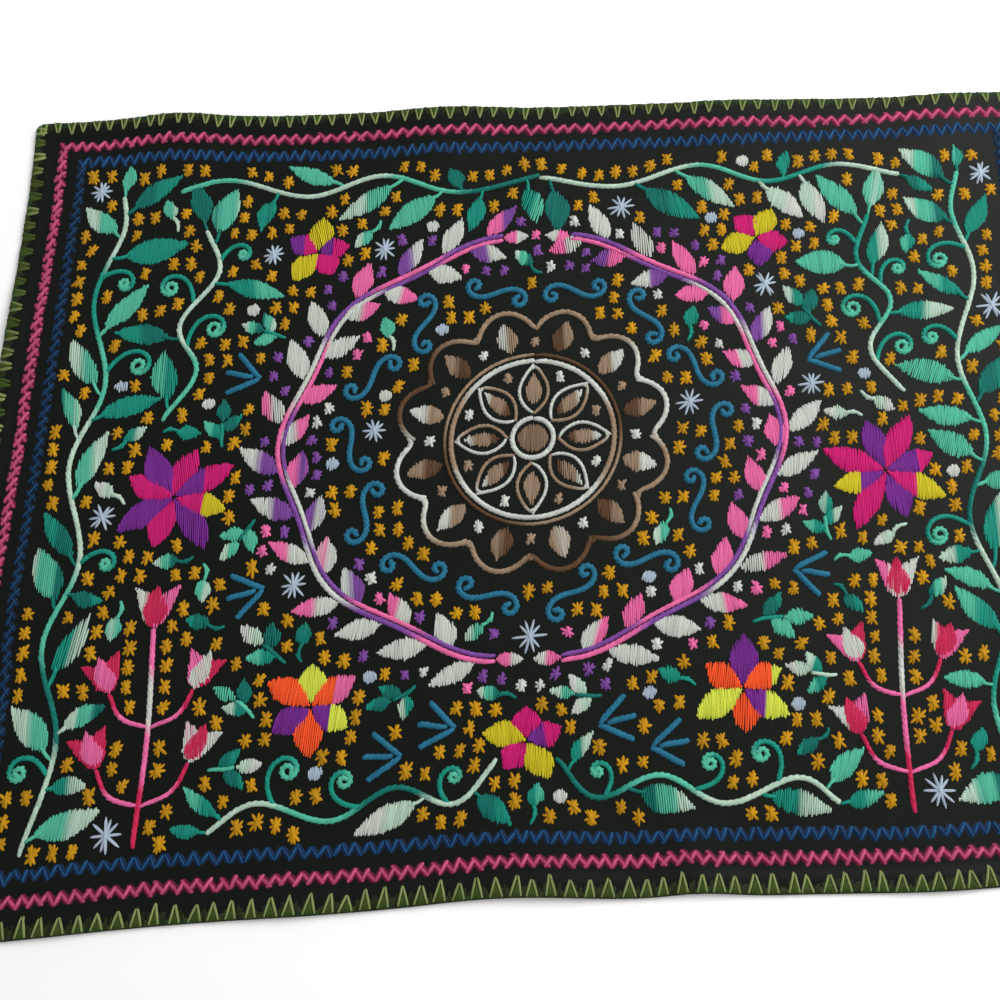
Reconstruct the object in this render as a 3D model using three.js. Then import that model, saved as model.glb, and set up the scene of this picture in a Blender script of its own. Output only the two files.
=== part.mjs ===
// A rectangular cloth of black cotton with an embroidered face, lying face up on a level surface.
// Millimetres, +Z up, +X along the long edges, +Y from the lower long edge to the upper one.
// The cloth is one sheet: its hem is turned under and thickens the rim.

import * as THREE from 'three';

// The cloth when it is pulled flat and square.
const CLOTH_WIDTH = 600;
const CLOTH_DEPTH = 446;
const CORNER_RADIUS = 6;
const SHEET_THICKNESS = 1.2;

// The hem: its turned edge doubles the sheet, then steps down to the single layer.
// Its fold is round, so the outermost line of the rim is drawn in from both sides.
const HEM_THICKNESS = 2.0;
const HEM_WIDTH = 9;
const HEM_STEP = 1.5;
const RIM_ROUNDING = 0.4;

// The weave lies askew: the short edges lean by this angle to +X, and every thread keeps its length.
const SKEW = THREE.MathUtils.degToRad(3.8);

// Where an edge bows out from its straight line, or in where the push is negative.
// The place runs along the edge from its middle, and the bow fades as it runs into the cloth.
const EDGE_BOWS = [
  { edge: 'top', place: 0, push: -1.2, spread: 200 },
  { edge: 'top', place: -216, push: 2.5, spread: 38 },
  { edge: 'top', place: -54, push: 1.2, spread: 38 },
  { edge: 'top', place: 215, push: -1.6, spread: 60 },
  { edge: 'bottom', place: -360, push: 11, spread: 150 },
  { edge: 'bottom', place: -8, push: -4.1, spread: 52 },
  { edge: 'bottom', place: 88, push: -2.2, spread: 22 },
  { edge: 'bottom', place: 200, push: 1.4, spread: 50 },
  { edge: 'left', place: 0, push: -0.8, spread: 150 },
  { edge: 'left', place: 175, push: -3.4, spread: 70 },
  { edge: 'left', place: 100, push: -1.4, spread: 30 },
  { edge: 'left', place: -70, push: 2.0, spread: 60 },
  { edge: 'right', place: 0, push: -0.8, spread: 150 },
  { edge: 'right', place: 120, push: 1.5, spread: 60 },
  { edge: 'right', place: -40, push: -2.0, spread: 70 },
];
const BOW_REACH = 110;

// Low puckers that the stitching draws up: ridges with their middle, heading and half sizes.
const PUCKERS = [
  { middle: [-216, 214], heading: 94, halfLength: 62, halfWidth: 27, height: 3.6 },
  { middle: [-56, 218], heading: 84, halfLength: 54, halfWidth: 33, height: 3.0 },
  { middle: [112, 220], heading: 92, halfLength: 40, halfWidth: 26, height: 1.5 },
  { middle: [238, 212], heading: 62, halfLength: 52, halfWidth: 24, height: 2.2 },
  { middle: [-228, -196], heading: 62, halfLength: 46, halfWidth: 24, height: 2.4 },
  { middle: [-118, -220], heading: 98, halfLength: 36, halfWidth: 24, height: 1.6 },
  { middle: [6, -220], heading: 86, halfLength: 48, halfWidth: 36, height: 2.6 },
  { middle: [90, -222], heading: 104, halfLength: 36, halfWidth: 19, height: 2.0 },
  { middle: [212, -214], heading: 72, halfLength: 46, halfWidth: 28, height: 2.2 },
  { middle: [-298, 96], heading: 8, halfLength: 44, halfWidth: 24, height: 2.2 },
  { middle: [-298, -62], heading: -6, halfLength: 48, halfWidth: 26, height: 2.0 },
  { middle: [296, 118], heading: 172, halfLength: 44, halfWidth: 25, height: 2.0 },
  { middle: [296, -44], heading: 184, halfLength: 50, halfWidth: 30, height: 2.3 },
  { middle: [-130, 84], heading: 24, halfLength: 92, halfWidth: 18, height: 1.3 },
  { middle: [146, 52], heading: -32, halfLength: 88, halfWidth: 17, height: 1.2 },
  { middle: [-34, -96], heading: 12, halfLength: 84, halfWidth: 16, height: 1.1 },
];

// The border stitches also draw up each whole edge between the corners, which stay down.
const EDGE_RISE = 1.3;
const EDGE_RISE_REACH = 24;

// A ridge lower than this lies flat, and the rest of it rises smoothly from the surface.
const PUCKER_FLOOR = 0.35;
const PUCKER_EASE = 0.6;

// Largest steps between the lines of the sheet's grid.
const COLUMN_STEP = 13;
const ROW_STEP = 13;

const COTTON_COLOUR = 0x1b1d1b;

const bell = (distance, spread) => Math.exp(-((distance / spread) ** 2));

// Lines across one side of the cloth: close ones over the hem, and even ones between the hems.
function gridLines(length, step) {
  const half = length / 2;
  const hemLines = [0, HEM_WIDTH / 2, HEM_WIDTH, HEM_WIDTH + HEM_STEP];
  const inner = half - hemLines.at(-1);
  const count = Math.ceil((2 * inner) / step);
  const lines = hemLines.slice(0, -1).map((inset) => inset - half);
  for (let i = 0; i <= count; i += 1) {
    lines.push(-inner + (2 * inner * i) / count);
  }
  return lines.concat(hemLines.slice(0, -1).reverse().map((inset) => half - inset));
}

// The square corner of the grid drawn in to a quarter round.
function roundCorner(u, v) {
  const pastU = Math.abs(u) - (CLOTH_WIDTH / 2 - CORNER_RADIUS);
  const pastV = Math.abs(v) - (CLOTH_DEPTH / 2 - CORNER_RADIUS);
  if (pastU <= 0 || pastV <= 0) return [u, v];
  const draw = Math.max(pastU, pastV) / Math.hypot(pastU, pastV) - 1;
  return [u + Math.sign(u) * pastU * draw, v + Math.sign(v) * pastV * draw];
}

// A point of the flat cloth as seen from each edge: its place along that edge and its distance inside it.
function fromEdges(u, v) {
  const halfWidth = CLOTH_WIDTH / 2;
  const halfDepth = CLOTH_DEPTH / 2;
  return {
    top: { along: u, half: halfWidth, inset: halfDepth - v, outward: [0, 1] },
    bottom: { along: u, half: halfWidth, inset: halfDepth + v, outward: [0, -1] },
    left: { along: v, half: halfDepth, inset: halfWidth + u, outward: [-1, 0] },
    right: { along: v, half: halfDepth, inset: halfWidth - u, outward: [1, 0] },
  };
}

// How far the bows of the four edges carry a point of the flat cloth, along u and along v.
function bowShift(u, v) {
  const edges = fromEdges(u, v);
  const shift = [0, 0];
  for (const { edge, place, push, spread } of EDGE_BOWS) {
    const { along, inset, outward } = edges[edge];
    const amount = push * bell(along - place, spread) * bell(inset, BOW_REACH);
    shift[0] += outward[0] * amount;
    shift[1] += outward[1] * amount;
  }
  return shift;
}

// Height of the underside over the surface: nought wherever the cloth lies flat.
function lift(u, v) {
  let ridges = 0;
  for (const { middle, heading, halfLength, halfWidth, height } of PUCKERS) {
    const angle = THREE.MathUtils.degToRad(heading);
    const du = u - middle[0];
    const dv = v - middle[1];
    const along = du * Math.cos(angle) + dv * Math.sin(angle);
    const across = dv * Math.cos(angle) - du * Math.sin(angle);
    ridges += height * bell(along, halfLength) * bell(across, halfWidth);
  }
  for (const { along, half, inset } of Object.values(fromEdges(u, v))) {
    ridges += EDGE_RISE * (1 - (along / half) ** 2) * bell(inset, EDGE_RISE_REACH);
  }
  const rise = Math.max(0, ridges - PUCKER_FLOOR);
  return (rise * rise) / (rise + PUCKER_EASE);
}

// Heights of the sheet's underside and face over the surface, with the doubled hem and its round rim.
function sheetHeights(u, v) {
  const inset = Math.min(CLOTH_WIDTH / 2 - Math.abs(u), CLOTH_DEPTH / 2 - Math.abs(v));
  const past = THREE.MathUtils.clamp((inset - HEM_WIDTH) / HEM_STEP, 0, 1);
  const thickness = THREE.MathUtils.lerp(HEM_THICKNESS, SHEET_THICKNESS, past);
  const drawnIn = inset > 0 ? 0 : RIM_ROUNDING;
  const base = lift(u, v);
  return [base + drawnIn, base + thickness - drawnIn];
}

// Where a point of the flat cloth lies once the corners are rounded, the edges bow and the weave skews.
function laidPlace(u, v) {
  const [roundU, roundV] = roundCorner(u, v);
  const [shiftU, shiftV] = bowShift(roundU, roundV);
  const up = roundV + shiftV;
  return [roundU + shiftU + up * Math.sin(SKEW), up * Math.cos(SKEW)];
}

// The closed sheet: underside, face and the rim between them, with the box of its outline centred.
function sheetGeometry() {
  const columns = gridLines(CLOTH_WIDTH, COLUMN_STEP);
  const rows = gridLines(CLOTH_DEPTH, ROW_STEP);
  const positions = [];
  const triangles = [];
  for (const onFace of [0, 1]) {
    for (const v of rows) {
      for (const u of columns) {
        positions.push(...laidPlace(u, v), sheetHeights(u, v)[onFace]);
      }
    }
  }
  const vertex = (column, row, onFace) => (onFace * rows.length + row) * columns.length + column;
  const addQuad = (a, b, c, d) => triangles.push(a, b, c, a, c, d);

  const lastColumn = columns.length - 1;
  const lastRow = rows.length - 1;
  for (let j = 0; j < lastRow; j += 1) {
    for (let i = 0; i < lastColumn; i += 1) {
      addQuad(vertex(i, j, 1), vertex(i + 1, j, 1), vertex(i + 1, j + 1, 1), vertex(i, j + 1, 1));
      addQuad(vertex(i, j + 1, 0), vertex(i + 1, j + 1, 0), vertex(i + 1, j, 0), vertex(i, j, 0));
    }
  }

  // The rim's grid points in turn, once round the cloth.
  const rim = [];
  for (let i = 0; i < lastColumn; i += 1) rim.push([i, 0]);
  for (let j = 0; j < lastRow; j += 1) rim.push([lastColumn, j]);
  for (let i = lastColumn; i > 0; i -= 1) rim.push([i, lastRow]);
  for (let j = lastRow; j > 0; j -= 1) rim.push([0, j]);
  rim.forEach((here, n) => {
    const next = rim[(n + 1) % rim.length];
    addQuad(vertex(...here, 0), vertex(...next, 0), vertex(...next, 1), vertex(...here, 1));
  });

  const geometry = new THREE.BufferGeometry();
  geometry.setAttribute('position', new THREE.Float32BufferAttribute(positions, 3));
  geometry.setIndex(triangles);
  geometry.computeBoundingBox();
  const middle = geometry.boundingBox.getCenter(new THREE.Vector3());
  geometry.translate(-middle.x, -middle.y, 0);
  geometry.computeVertexNormals();
  return geometry;
}

const cotton = new THREE.MeshStandardMaterial({ color: COTTON_COLOUR, roughness: 0.95, metalness: 0 });

const cloth = new THREE.Mesh(sheetGeometry(), cotton);
cloth.name = 'cloth';

const part = new THREE.Group();
part.add(cloth);

export default part;
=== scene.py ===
"""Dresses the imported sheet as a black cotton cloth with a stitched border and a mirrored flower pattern.

Places on the cloth are in millimetres from its middle, as it lies when pulled flat and square:
u runs along the long edges and v from the lower long edge to the upper one.
Turns are in radians where nothing else is said.
"""

import math
from typing import NamedTuple

import bpy
import numpy as np
from bpy.props import FloatProperty, FloatVectorProperty, PointerProperty
from bpy.types import NodeSocket, Operator, Panel, PropertyGroup
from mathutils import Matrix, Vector


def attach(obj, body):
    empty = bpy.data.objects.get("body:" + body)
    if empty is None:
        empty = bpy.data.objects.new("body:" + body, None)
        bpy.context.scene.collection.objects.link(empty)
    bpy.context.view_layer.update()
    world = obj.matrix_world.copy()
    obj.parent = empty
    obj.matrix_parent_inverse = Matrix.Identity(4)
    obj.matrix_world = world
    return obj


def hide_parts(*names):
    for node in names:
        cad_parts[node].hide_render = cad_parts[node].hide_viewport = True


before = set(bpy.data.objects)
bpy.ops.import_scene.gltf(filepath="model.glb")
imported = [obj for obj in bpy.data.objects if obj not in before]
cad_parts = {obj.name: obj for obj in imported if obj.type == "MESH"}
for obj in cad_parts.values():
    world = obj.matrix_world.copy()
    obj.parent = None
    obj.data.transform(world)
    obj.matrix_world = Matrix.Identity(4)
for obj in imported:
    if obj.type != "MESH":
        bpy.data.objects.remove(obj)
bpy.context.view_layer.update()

bl_info = {
    "name": "Embroidered cotton cloth",
    "version": (1, 0, 0),
    "blender": (4, 5, 0),
    "location": "View3D > Sidebar > Cloth",
    "description": "Builds a laid cotton cloth with its stitched border and flower pattern",
    "category": "Add Mesh",
}

MM = 0.001
TINY = 1e-9
SIDES = (1, -1)

# The laid form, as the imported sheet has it.
CORNER_RADIUS = 6
HEM_STEP = 1.5
RIM_ROUNDING = 0.4
BOW_REACH = 110
EDGE_RISE = 1.3
EDGE_RISE_REACH = 24
PUCKER_FLOOR = 0.35
PUCKER_EASE = 0.6

# Bows of each edge: place along it, push outwards and spread.
EDGE_BOWS = {
    "top": ((0, -1.2, 200), (-216, 2.5, 38), (-54, 1.2, 38), (215, -1.6, 60)),
    "bottom": ((-360, 11, 150), (-8, -4.1, 52), (88, -2.2, 22), (200, 1.4, 50)),
    "left": ((0, -0.8, 150), (175, -3.4, 70), (100, -1.4, 30), (-70, 2.0, 60)),
    "right": ((0, -0.8, 150), (120, 1.5, 60), (-40, -2.0, 70)),
}

# Low ridges: middle, heading in degrees, half length, half width and height.
PUCKERS = (
    ((-216, 214), 94, 62, 27, 3.6),
    ((-56, 218), 84, 54, 33, 3.0),
    ((112, 220), 92, 40, 26, 1.5),
    ((238, 212), 62, 52, 24, 2.2),
    ((-228, -196), 62, 46, 24, 2.4),
    ((-118, -220), 98, 36, 24, 1.6),
    ((6, -220), 86, 48, 36, 2.6),
    ((90, -222), 104, 36, 19, 2.0),
    ((212, -214), 72, 46, 28, 2.2),
    ((-298, 96), 8, 44, 24, 2.2),
    ((-298, -62), -6, 48, 26, 2.0),
    ((296, 118), 172, 44, 25, 2.0),
    ((296, -44), 184, 50, 30, 2.3),
    ((-130, 84), 24, 92, 18, 1.3),
    ((146, 52), -32, 88, 17, 1.2),
    ((-34, -96), 12, 84, 16, 1.1),
)

# Lines of the sheet's grid over the hem, and the points along a rim that the cloth's box is found from.
HEM_LINES = (0, 0.7, 2.0, 4.0, 6.5)
LONG_RIM_POINTS = 1201
SHORT_RIM_POINTS = 893

# The drag of the stitches on the cotton: a faint ripple all over the face.
RIPPLE_HEIGHT = 0.14
RIPPLE_WAVES = ((0.31, 0.12, 0.4), (-0.14, 0.29, 1.7), (0.21, -0.24, 3.1))

# Dark and light of the cotton as linear colours, mixed by painted shade in the gaps of the weave, painted
# light on its raised threads and random slub, and the pitch of its threads.
COTTON_DARK = (0.002, 0.003, 0.0019)
COTTON_LIGHT = (0.0032, 0.0049, 0.003)
WEAVE_PITCH = 0.7

# One lay of thread: places along it, with its rise and narrowing there, and its section from side to side.
LAY_PLACES = np.array([0.0, 0.14, 0.5, 0.86, 1.0])
LAY_RISE = np.array([0.0, 0.85, 1.0, 0.85, 0.0])
LAY_TAPER = np.array([1.0, 0.22, 0.0, 0.22, 1.0])
SECTION_ACROSS = np.array([-0.5, -0.27, 0.27, 0.5])
SECTION_CROWN = np.array([0.0, 1.0, 1.0, 0.0])
SINK = 0.2
TINT_SPREAD = 0.06
DYE_BLEND = 0.28

# Steps along lines and outlines, and how far ahead and behind a line's heading is taken.
PATH_STEP = 0.5
SPAN_STEPS = 32
OUTLINE_STEPS = 17
HEADING_REACH = 1.0

# Clear cotton between the border and the field, and what is rounded up to a whole cell of the field.
BORDER_CLEARANCE = 2.0
CELL_ROUNDING = 0.3

# How far a border row strays from its line from stitch to stitch, and each needle hole from its place, and
# how dark or light one stitch may be.
ROW_DRIFT = 0.12
ROW_WANDER = 0.46
ROW_SHADES = (0.88, 1.1)

# How far an overcast stitch reaches past the rim, and how far it comes down round it.
RIM_OVERHANG = 0.3
RIM_DROP = 1.7

# The strands that wrap the rim, with their reach as shares of the row's depth, and the strands between the
# legs of a pointed stitch, with their distance from its point as shares of its depth.
WRAP_PITCH = 1.3
WRAP_WIDTH = 2.2
WRAP_RISE = 0.4
WRAP_REACHES = (0.25, 0.85)
WRAP_TONE = 1.3
INFILL_LEGS = (-0.5, 0.0, 0.5)
INFILL_WIDTH = 1.5
INFILL_DIP = 0.24
INFILL_LEG_DIP = 0.3

# Pointed stitches: rise, stray of foot, point and legs, shares of depth and foot, and run of dye.
POINT_RISE = 0.8
FOOT_STRAY = 0.6
POINT_STRAY = 0.5
LEG_STRAY = 0.2
POINT_DEPTHS = (0.86, 1.12)
FOOT_SPREADS = (0.8, 1.2)
POINT_DYE_RUN = 0.42

# Satin stitch: heading and its stray in degrees, spacings as shares of the pitch, and the shapes so sparse
# that the cotton shows between their stitches. Crowding is the share of a leaf that may lie on stitches.
SATIN_HEADING = 90
SATIN_STRAY = 7
EVEN_SPACING = (0.94, 1.06)
SPARSE_SPACING = (1.3, 1.55)
SPARSE_SHARE = 0.14
FIRST_ROW = 0.35
SHORTEST_LAY = 0.6
SATIN_CLEARANCE = 1.6
CROWDING = 0.05

# How uneven satin stitches are: stray of the dye, run past the outline with its stray, lean, and shares of
# width and rise.
SATIN_DYE_STRAY = 0.015
SATIN_OVERRUN = (0.15, 0.4)
SATIN_LEAN = 0.2
SATIN_WIDTHS = (0.85, 1.1)
SATIN_RISES = (0.85, 1.12)

# Stem stitch: its advance, the advances that one stitch spans and the last one leaves, its slant as a share
# of the strand, its stray, and the ground it covers on each side as a share of the strand and a clearance.
STEM_ADVANCE = 3.3
FINE_ADVANCE = 2.6
STEM_SPAN = 2.3
STEM_LAST = 0.6
STEM_SLANT = 0.24
STEM_STRAY = 0.1
STEM_RISES = (0.9, 1.1)
STEM_COVER = 0.9
STEM_CLEARANCE = 1.0

# Half strokes of a star as shares of its height, how often it has the fifth of them, and how they vary.
STAR_STROKES = np.array([[0.4, 0.05], [0.31, 0.4], [-0.32, 0.4], [0.06, 0.48], [-0.12, 0.46]])
FIVE_STROKES_SHARE = 0.4
STROKE_TIP = 0.25
STROKE_REACHES = (0.85, 1.1)
STROKE_STRAY = 0.25
STROKE_WIDTHS = (1.7, 2.3)
STROKE_RISES = (0.5, 1.1)

# The star filling: stars at most, clear reach as a share of their height, stray from their rows, scales,
# shades and turn, and the scales and dyes of those on the wreath.
MOST_STARS = 1600
STAR_CLEARANCE = 0.38
STAR_STRAY = 1.6
STAR_SCALES = (0.9, 1.08)
STAR_SHADES = (0.86, 1.06)
STAR_TURN = 0.16
WREATH_STAR_SCALES = (0.76, 0.9)
WREATH_STAR_DYES = "violet violet pink ivory"

# Pale stars and dots: how many at most, the clear reach round each and the least gap, and their sizes.
PALE_STARS = (16, 8.8, 60)
PALE_STAR_RADII = (6.4, 9.6)
RAY_ANGLES = (4, 42, 138, 72, 104)
RAY_STRAY = 0.08
RAY_WIDTH = 1.8
RAY_RISES = (0.6, 1.1)
RAY_CLEARANCE = 1.5
DOTS = (18, 5.0, 40)
DOT_RADIUS = 3.5
HAZE_DOT_SHARE = 0.6

# Leaves: how full they are towards the base, how round their sides are, and the dyes with their weights.
LEAF_FULLNESS = 0.85
LEAF_ROUNDING = 0.95
LEAF_DYES = {
    "teal jade": 5,
    "jade mint": 6,
    "teal teal jade": 4,
    "jade jade": 4,
    "teal mint frost": 5,
    "mint frost": 4,
    "frost mint teal": 4,
    "jade frost": 5,
    "mint mint": 4,
    "frost ivory": 3,
}

# Leaves of a vine: their spacing with its stray and the bare stretches at both ends, their lengths, widths,
# turns from the stem and stalks, and the shares of length and width that a small one has.
LEAF_SPACING = 12.6
LEAF_STRAY = 2
BARE_START = 7.0
BARE_END = 4
LEAF_LENGTHS = (29, 39)
LEAF_WIDTHS = (11.4, 16.2)
LEAF_TURNS = (0.65, 1.0)
LEAF_STALKS = (5, 9)
SMALL_LEAF = (0.62, 0.75)
SMALL_STALK = 3.5

# A leaf that has no room: how much shorter it is at each try, its swing at the first and at each further
# one, its nod from the stalk and its bend, and the stalk's bow by turn and distance.
LEAF_TRIES = 5
LAST_TRIES = 9
LEAF_SHRINK = 0.09
LEAF_SWING = (0.12, 0.08)
LEAF_NODS = (-0.1, 0.35)
LEAF_BEND = 1.5
STALK_BOW = (1.2, 0.8)
STALK_END = 0.12
STALK_STRAND = 1.8

# Vines: the dyes of the stem in turn, and sizes that its last leaf may have.
STEM_DYES = ("mint", "frost", "frost", "mint", "jade", "frost", "teal")
STEM_DYE_RUN = 45
LAST_LEAVES = ((28, 12), (22, 10), (17, 8))
LAST_STALK = 4.6

# Sprigs: their reaches, and foot, bend with its sway, and top as shares of the reach; the place of each leaf
# along the stem and its turn from it, its distance from the stem, and its size as shares of the reach.
MOST_SPRIGS = 60
SPRIG_REACHES = (21, 17, 14.5)
SPRIG_FOOT = 0.92
SPRIG_BEND = 0.4
SPRIG_SWAY = 0.25
SPRIG_TOP = 0.05
SPRIG_STRAND = 2.0
SPRIG_LEAVES = ((0.4, 0.8), (0.62, -0.8), (1.0, 0.0))
SPRIG_LEAF_GAP = 0.4
SPRIG_LEAF_SIZE = (0.95, 0.52)

# Lone leaves: clear reach round each, and foot, base, tip, bow with its turn, and width by their own reach.
LONE_LEAF_CLEARANCE = 10.5
LONE_LEAF_REACH = 11
LONE_LEAF_SPAN = (-1.0, -0.25, 1.0)
LONE_STALK_BOW = (0.4, 0.6)
LONE_STALK_END = 0.1
LONE_STALK_STRAND = 1.9
LONE_LEAF_WIDTH = 0.74

# Curls: first and tightest turn, in radians a millimetre and over the whole length, how soon they tighten,
# turn from the vine, lengths, strand and advance, and the first points, which lie on the vine.
CURL_FIRST_TURN = 0.02
CURL_TURN = 23.0
CURL_POWER = 1.2
CURL_ASIDE = 0.7
CURL_LENGTHS = (48, 72)
CURL_STRAND = 2.4
CURL_ADVANCE = 2.5
CURL_FOOT_POINTS = 16

# The rosette: radii of its scalloped rim, its rings and its eye, and the run of the eye's dyes.
ROSETTE_MIDDLE = np.array([0.0, 18.0])
SCALLOP_RADIUS = 64
SCALLOP_RISE = 12.5
SCALLOP_ROUNDING = 0.8
FINE_RING_RADIUS = 48.6
RING_RADIUS = 45.0
RING_POINTS = 900
EYE_RING_RADIUS = 11.5
EYE_RING_ADVANCE = 2.0
EYE_RADIUS = 8.2
EYE_DYE_RUN = np.array([0, 8])
OUTLINE_STRAND = 1.7

# Its petals and leaves: radii of base and tip, and width; the filling inside a leaf's line; and its stars.
ROSETTE_PETALS = 12
ROSETTE_PETAL_SPAN = (51, 71)
ROSETTE_PETAL_WIDTH = 11.5
ROSETTE_LEAVES = 8
ROSETTE_LEAF_SPAN = (14, 43)
ROSETTE_LEAF_WIDTH = 16.5
ROSETTE_LEAF_ADVANCE = 2.4
FILLING_INSET = 4.5
FILLING_WIDTH = 8.6
ROSETTE_STAR = 7.0
ROSETTE_STAR_TURN = 0.15
PETAL_STAR_RADIUS = 56.5
LEAF_STAR_RADIUS = 38

# The ground that it takes: a square in its middle and a band round it, by radius and half width.
ROSETTE_SQUARE = 50
ROSETTE_BAND = (60, 18)

# The wreath: half sizes of its oval, its span in degrees from the lowest point, its waves as a share of the
# half sizes, and the band, a share too, where stars take its dyes. Leaves on its inner side are smaller.
WREATH_RADII = np.array([137.0, 121.0])
WREATH_SPAN = (7, 172)
WREATH_POINTS = 300
WREATH_WAVES = 9
WREATH_WAVE = 0.022
WREATH_BAND = 0.16
WREATH_STRANDS = (2.6, 2.3)
WREATH_STEM_GAP = 3.0
WREATH_STEM_DYES = "pink violet ivory violet pink ivory violet pink violet"
WREATH_LEAF_DYES = ("ivory", "pink violet", "pink", "ivory pink", "violet ivory", "ivory")
WREATH_LEAF_SPACING = 13.6
WREATH_LEAF_STRAY = 1
WREATH_BARE_START = 9
WREATH_BARE_END = 3
WREATH_LEAF_TURNS = (0.58, 0.78)
WREATH_LEAF_LENGTHS = (23, 28)
WREATH_LEAF_WIDTHS = (10.6, 12.4)
OUTER_LEAF_GAP = 2.4
INNER_LEAF_GAP = 4.4
INNER_LEAF_SHARE = 0.84
END_LEAF_LENGTH = 15.0
END_LEAF_WIDTH = 8.0

# The scrolls round the rosette: half sizes of their oval, half length of one, its tightest turn in radians a
# millimetre, and the stray of its lie.
SCROLL_COUNT = 14
SCROLL_RADII = np.array([100.0, 89.0])
SCROLL_STRAND = 2.9
SCROLL_HALF_LENGTH = 40.0
SCROLL_TURN = 0.36
SCROLL_STRAY = 0.25

# Fans, vines, tulips and flowers are placed on the half with u above nought, and mirrored to the other one.
# Foot and aim in degrees of each blue fan, the angle between its lines, where the middle one starts, and
# how far they reach.
FANS = (((37, -138), 12), ((64, -150), 4), ((141, -60), -12), ((153, 58), 14))
FAN_SPREAD = 36
FAN_START = 4.0
FAN_REACH = 20
FAN_ADVANCE = 3.0

# Points of each vine, the side of its first leaf, and its curls as shares of its length with their sides.
VINES = (
    (
        (
            (255, -182), (241, -132), (254, -86), (239, -38), (252, 10),
            (238, 58), (252, 106), (239, 148), (245, 172),
        ),
        1,
        ((0.1, -1), (0.24, 1), (0.4, 1), (0.56, -1), (0.7, 1), (0.86, 1)),
    ),
    (
        ((208, 36), (187, 62), (203, 92), (182, 120), (190, 148)),
        -1,
        ((0.18, -1), (0.38, 1), (0.6, -1), (0.84, 1)),
    ),
    (
        ((0, 177), (48, 169), (92, 182), (134, 170), (176, 181), (212, 173)),
        -1,
        ((0.14, -1), (0.34, 1), (0.6, -1), (0.82, -1)),
    ),
    (
        ((14, -156), (36, -175), (68, -164), (100, -180), (136, -169), (160, -181)),
        1,
        ((0.2, 1), (0.5, 1), (0.78, 1)),
    ),
)
VINE_WANDER = 1.2

# Tulips: the trunk, its branches by place and reach, a branch's bend and tip as shares of its reach, sizes of
# the blossoms on trunk and branches, and their lobes by turn, reach, width and level.
TULIP_TRUNK = ((197, -186), (195, -132), (197, -78))
TULIP_BRANCHES = ((20, 26), (58, 24))
BRANCH_POINTS = ((0.62, 0.22), (0.9, 0.75))
BRANCH_STRAND = 2.1
TOP_BLOSSOM = 25
SIDE_BLOSSOM = 22
BLOSSOM_NOD = 0.1
LOBE_BEND = 0.12
TULIP_LOBES = ((0.5, 1.0, 0.46, 0.0), (-0.5, 1.0, 0.46, 0.0), (0.0, 0.92, 0.5, 0.3))
TULIP_FULLNESS = 0.75
TULIP_DYES = (
    ("crimson", "crimson", "pink"),
    ("pink", "crimson", "ivory"),
    ("crimson ivory", "pink", "crimson"),
    ("ivory pink", "ivory", "crimson"),
)

# Dyes of each flower's petals, from base to tip.
BRIGHT_PETALS = (
    "plum plum magenta",
    "magenta magenta yellow",
    "plum",
    "magenta",
    "plum yellow",
    "magenta magenta yellow",
    "plum magenta",
    "magenta yellow",
)
WARM_PETALS = ("orange orange lime", "plum", "orange", "lime", "orange pink", "plum lime")
SMALL_PETALS = ("magenta", "yellow", "magenta plum", "yellow", "plum magenta")

# Place, radius, turn in radians and petals of each flower, and the one on the middle line.
FLOWERS = (
    ((194, -8), 36, 0.3, BRIGHT_PETALS),
    ((112, -122), 28, 0.5, WARM_PETALS),
    ((126, 134), 22, -0.2, SMALL_PETALS),
)
MIDDLE_FLOWER = ((0.0, -146.0), 23, math.pi / 2, SMALL_PETALS)

# Petals: how full they are, width as a share of the radius over their number, stray of their aim, reaches as
# shares of the radius, bend, level of every second one, mixed share of the dyes, and the sine of a steep aim.
PETAL_FULLNESS = 1.05
PETAL_WIDTH = 3.2
PETAL_FOOT = 0.8
PETAL_STRAY = 0.06
PETAL_REACHES = (0.94, 1.04)
SHORT_PETAL = 0.84
PETAL_BEND = 1.5
PETAL_LEVEL = 0.2
PETAL_BLEND = 0.04
STEEP_PETAL = 0.75

# The studio, in metres, and the camera's place and aim in millimetres on the laid cloth.
FLOOR_REACH = 4.0
FLOOR_DROP = 0.0002
LAMP_PLACE = (0.95, 0.5, 1.05)
LAMP_SIZE = 1.0
CAMERA_PLACE = (-22.9, -138.0, 528.6)
CAMERA_AIM = (-18.14, -16.1, 0.0)
SENSOR_WIDTH = 36.0
FOCAL_LENGTH = 36.0
NEAREST_VIEW = 0.01

# Painted shade of the thread in the grooves between its plies, and how much lighter their crests are painted.
PLY_SHADE = 0.8
PLY_CONTRAST = 0.34

# How nodes are laid out in a tree, and the numbers of a Mix node's colour sockets.
NODE_STEPS = (180, 120)
NODE_ROWS = 3
MIX_DARK = 6
MIX_LIGHT = 7
MIX_RESULT = 2


class BorderRow(NamedTuple):
    """A zigzag row along one edge; pairs are values at the row's start and end, from left or from below.

    Reach is how far the row runs past its corners, and overlaps how far the stitches that run inwards and
    the others run past their turns.
    """

    insets: tuple
    pitches: tuple
    height: float
    overlaps: tuple
    reach: float
    tone: float


class EdgeRow(NamedTuple):
    """The overcast stitches over one edge: pitch at both ends, depth, half widths, strand and dye run."""

    pitches: tuple
    depth: float
    half_foot: float
    half_tip: float
    strand: float
    dye_from: float


class RowLayer(NamedTuple):
    """One layer of a zigzag row; pairs are for the stitches that climb to the right and for the others."""

    width: float
    rises: tuple
    dyes: str


def four_edges(top, bottom, side):
    """Rows for all four edges, where both short edges have the same one."""
    return {"top": top, "bottom": bottom, "left": side, "right": side}


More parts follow.
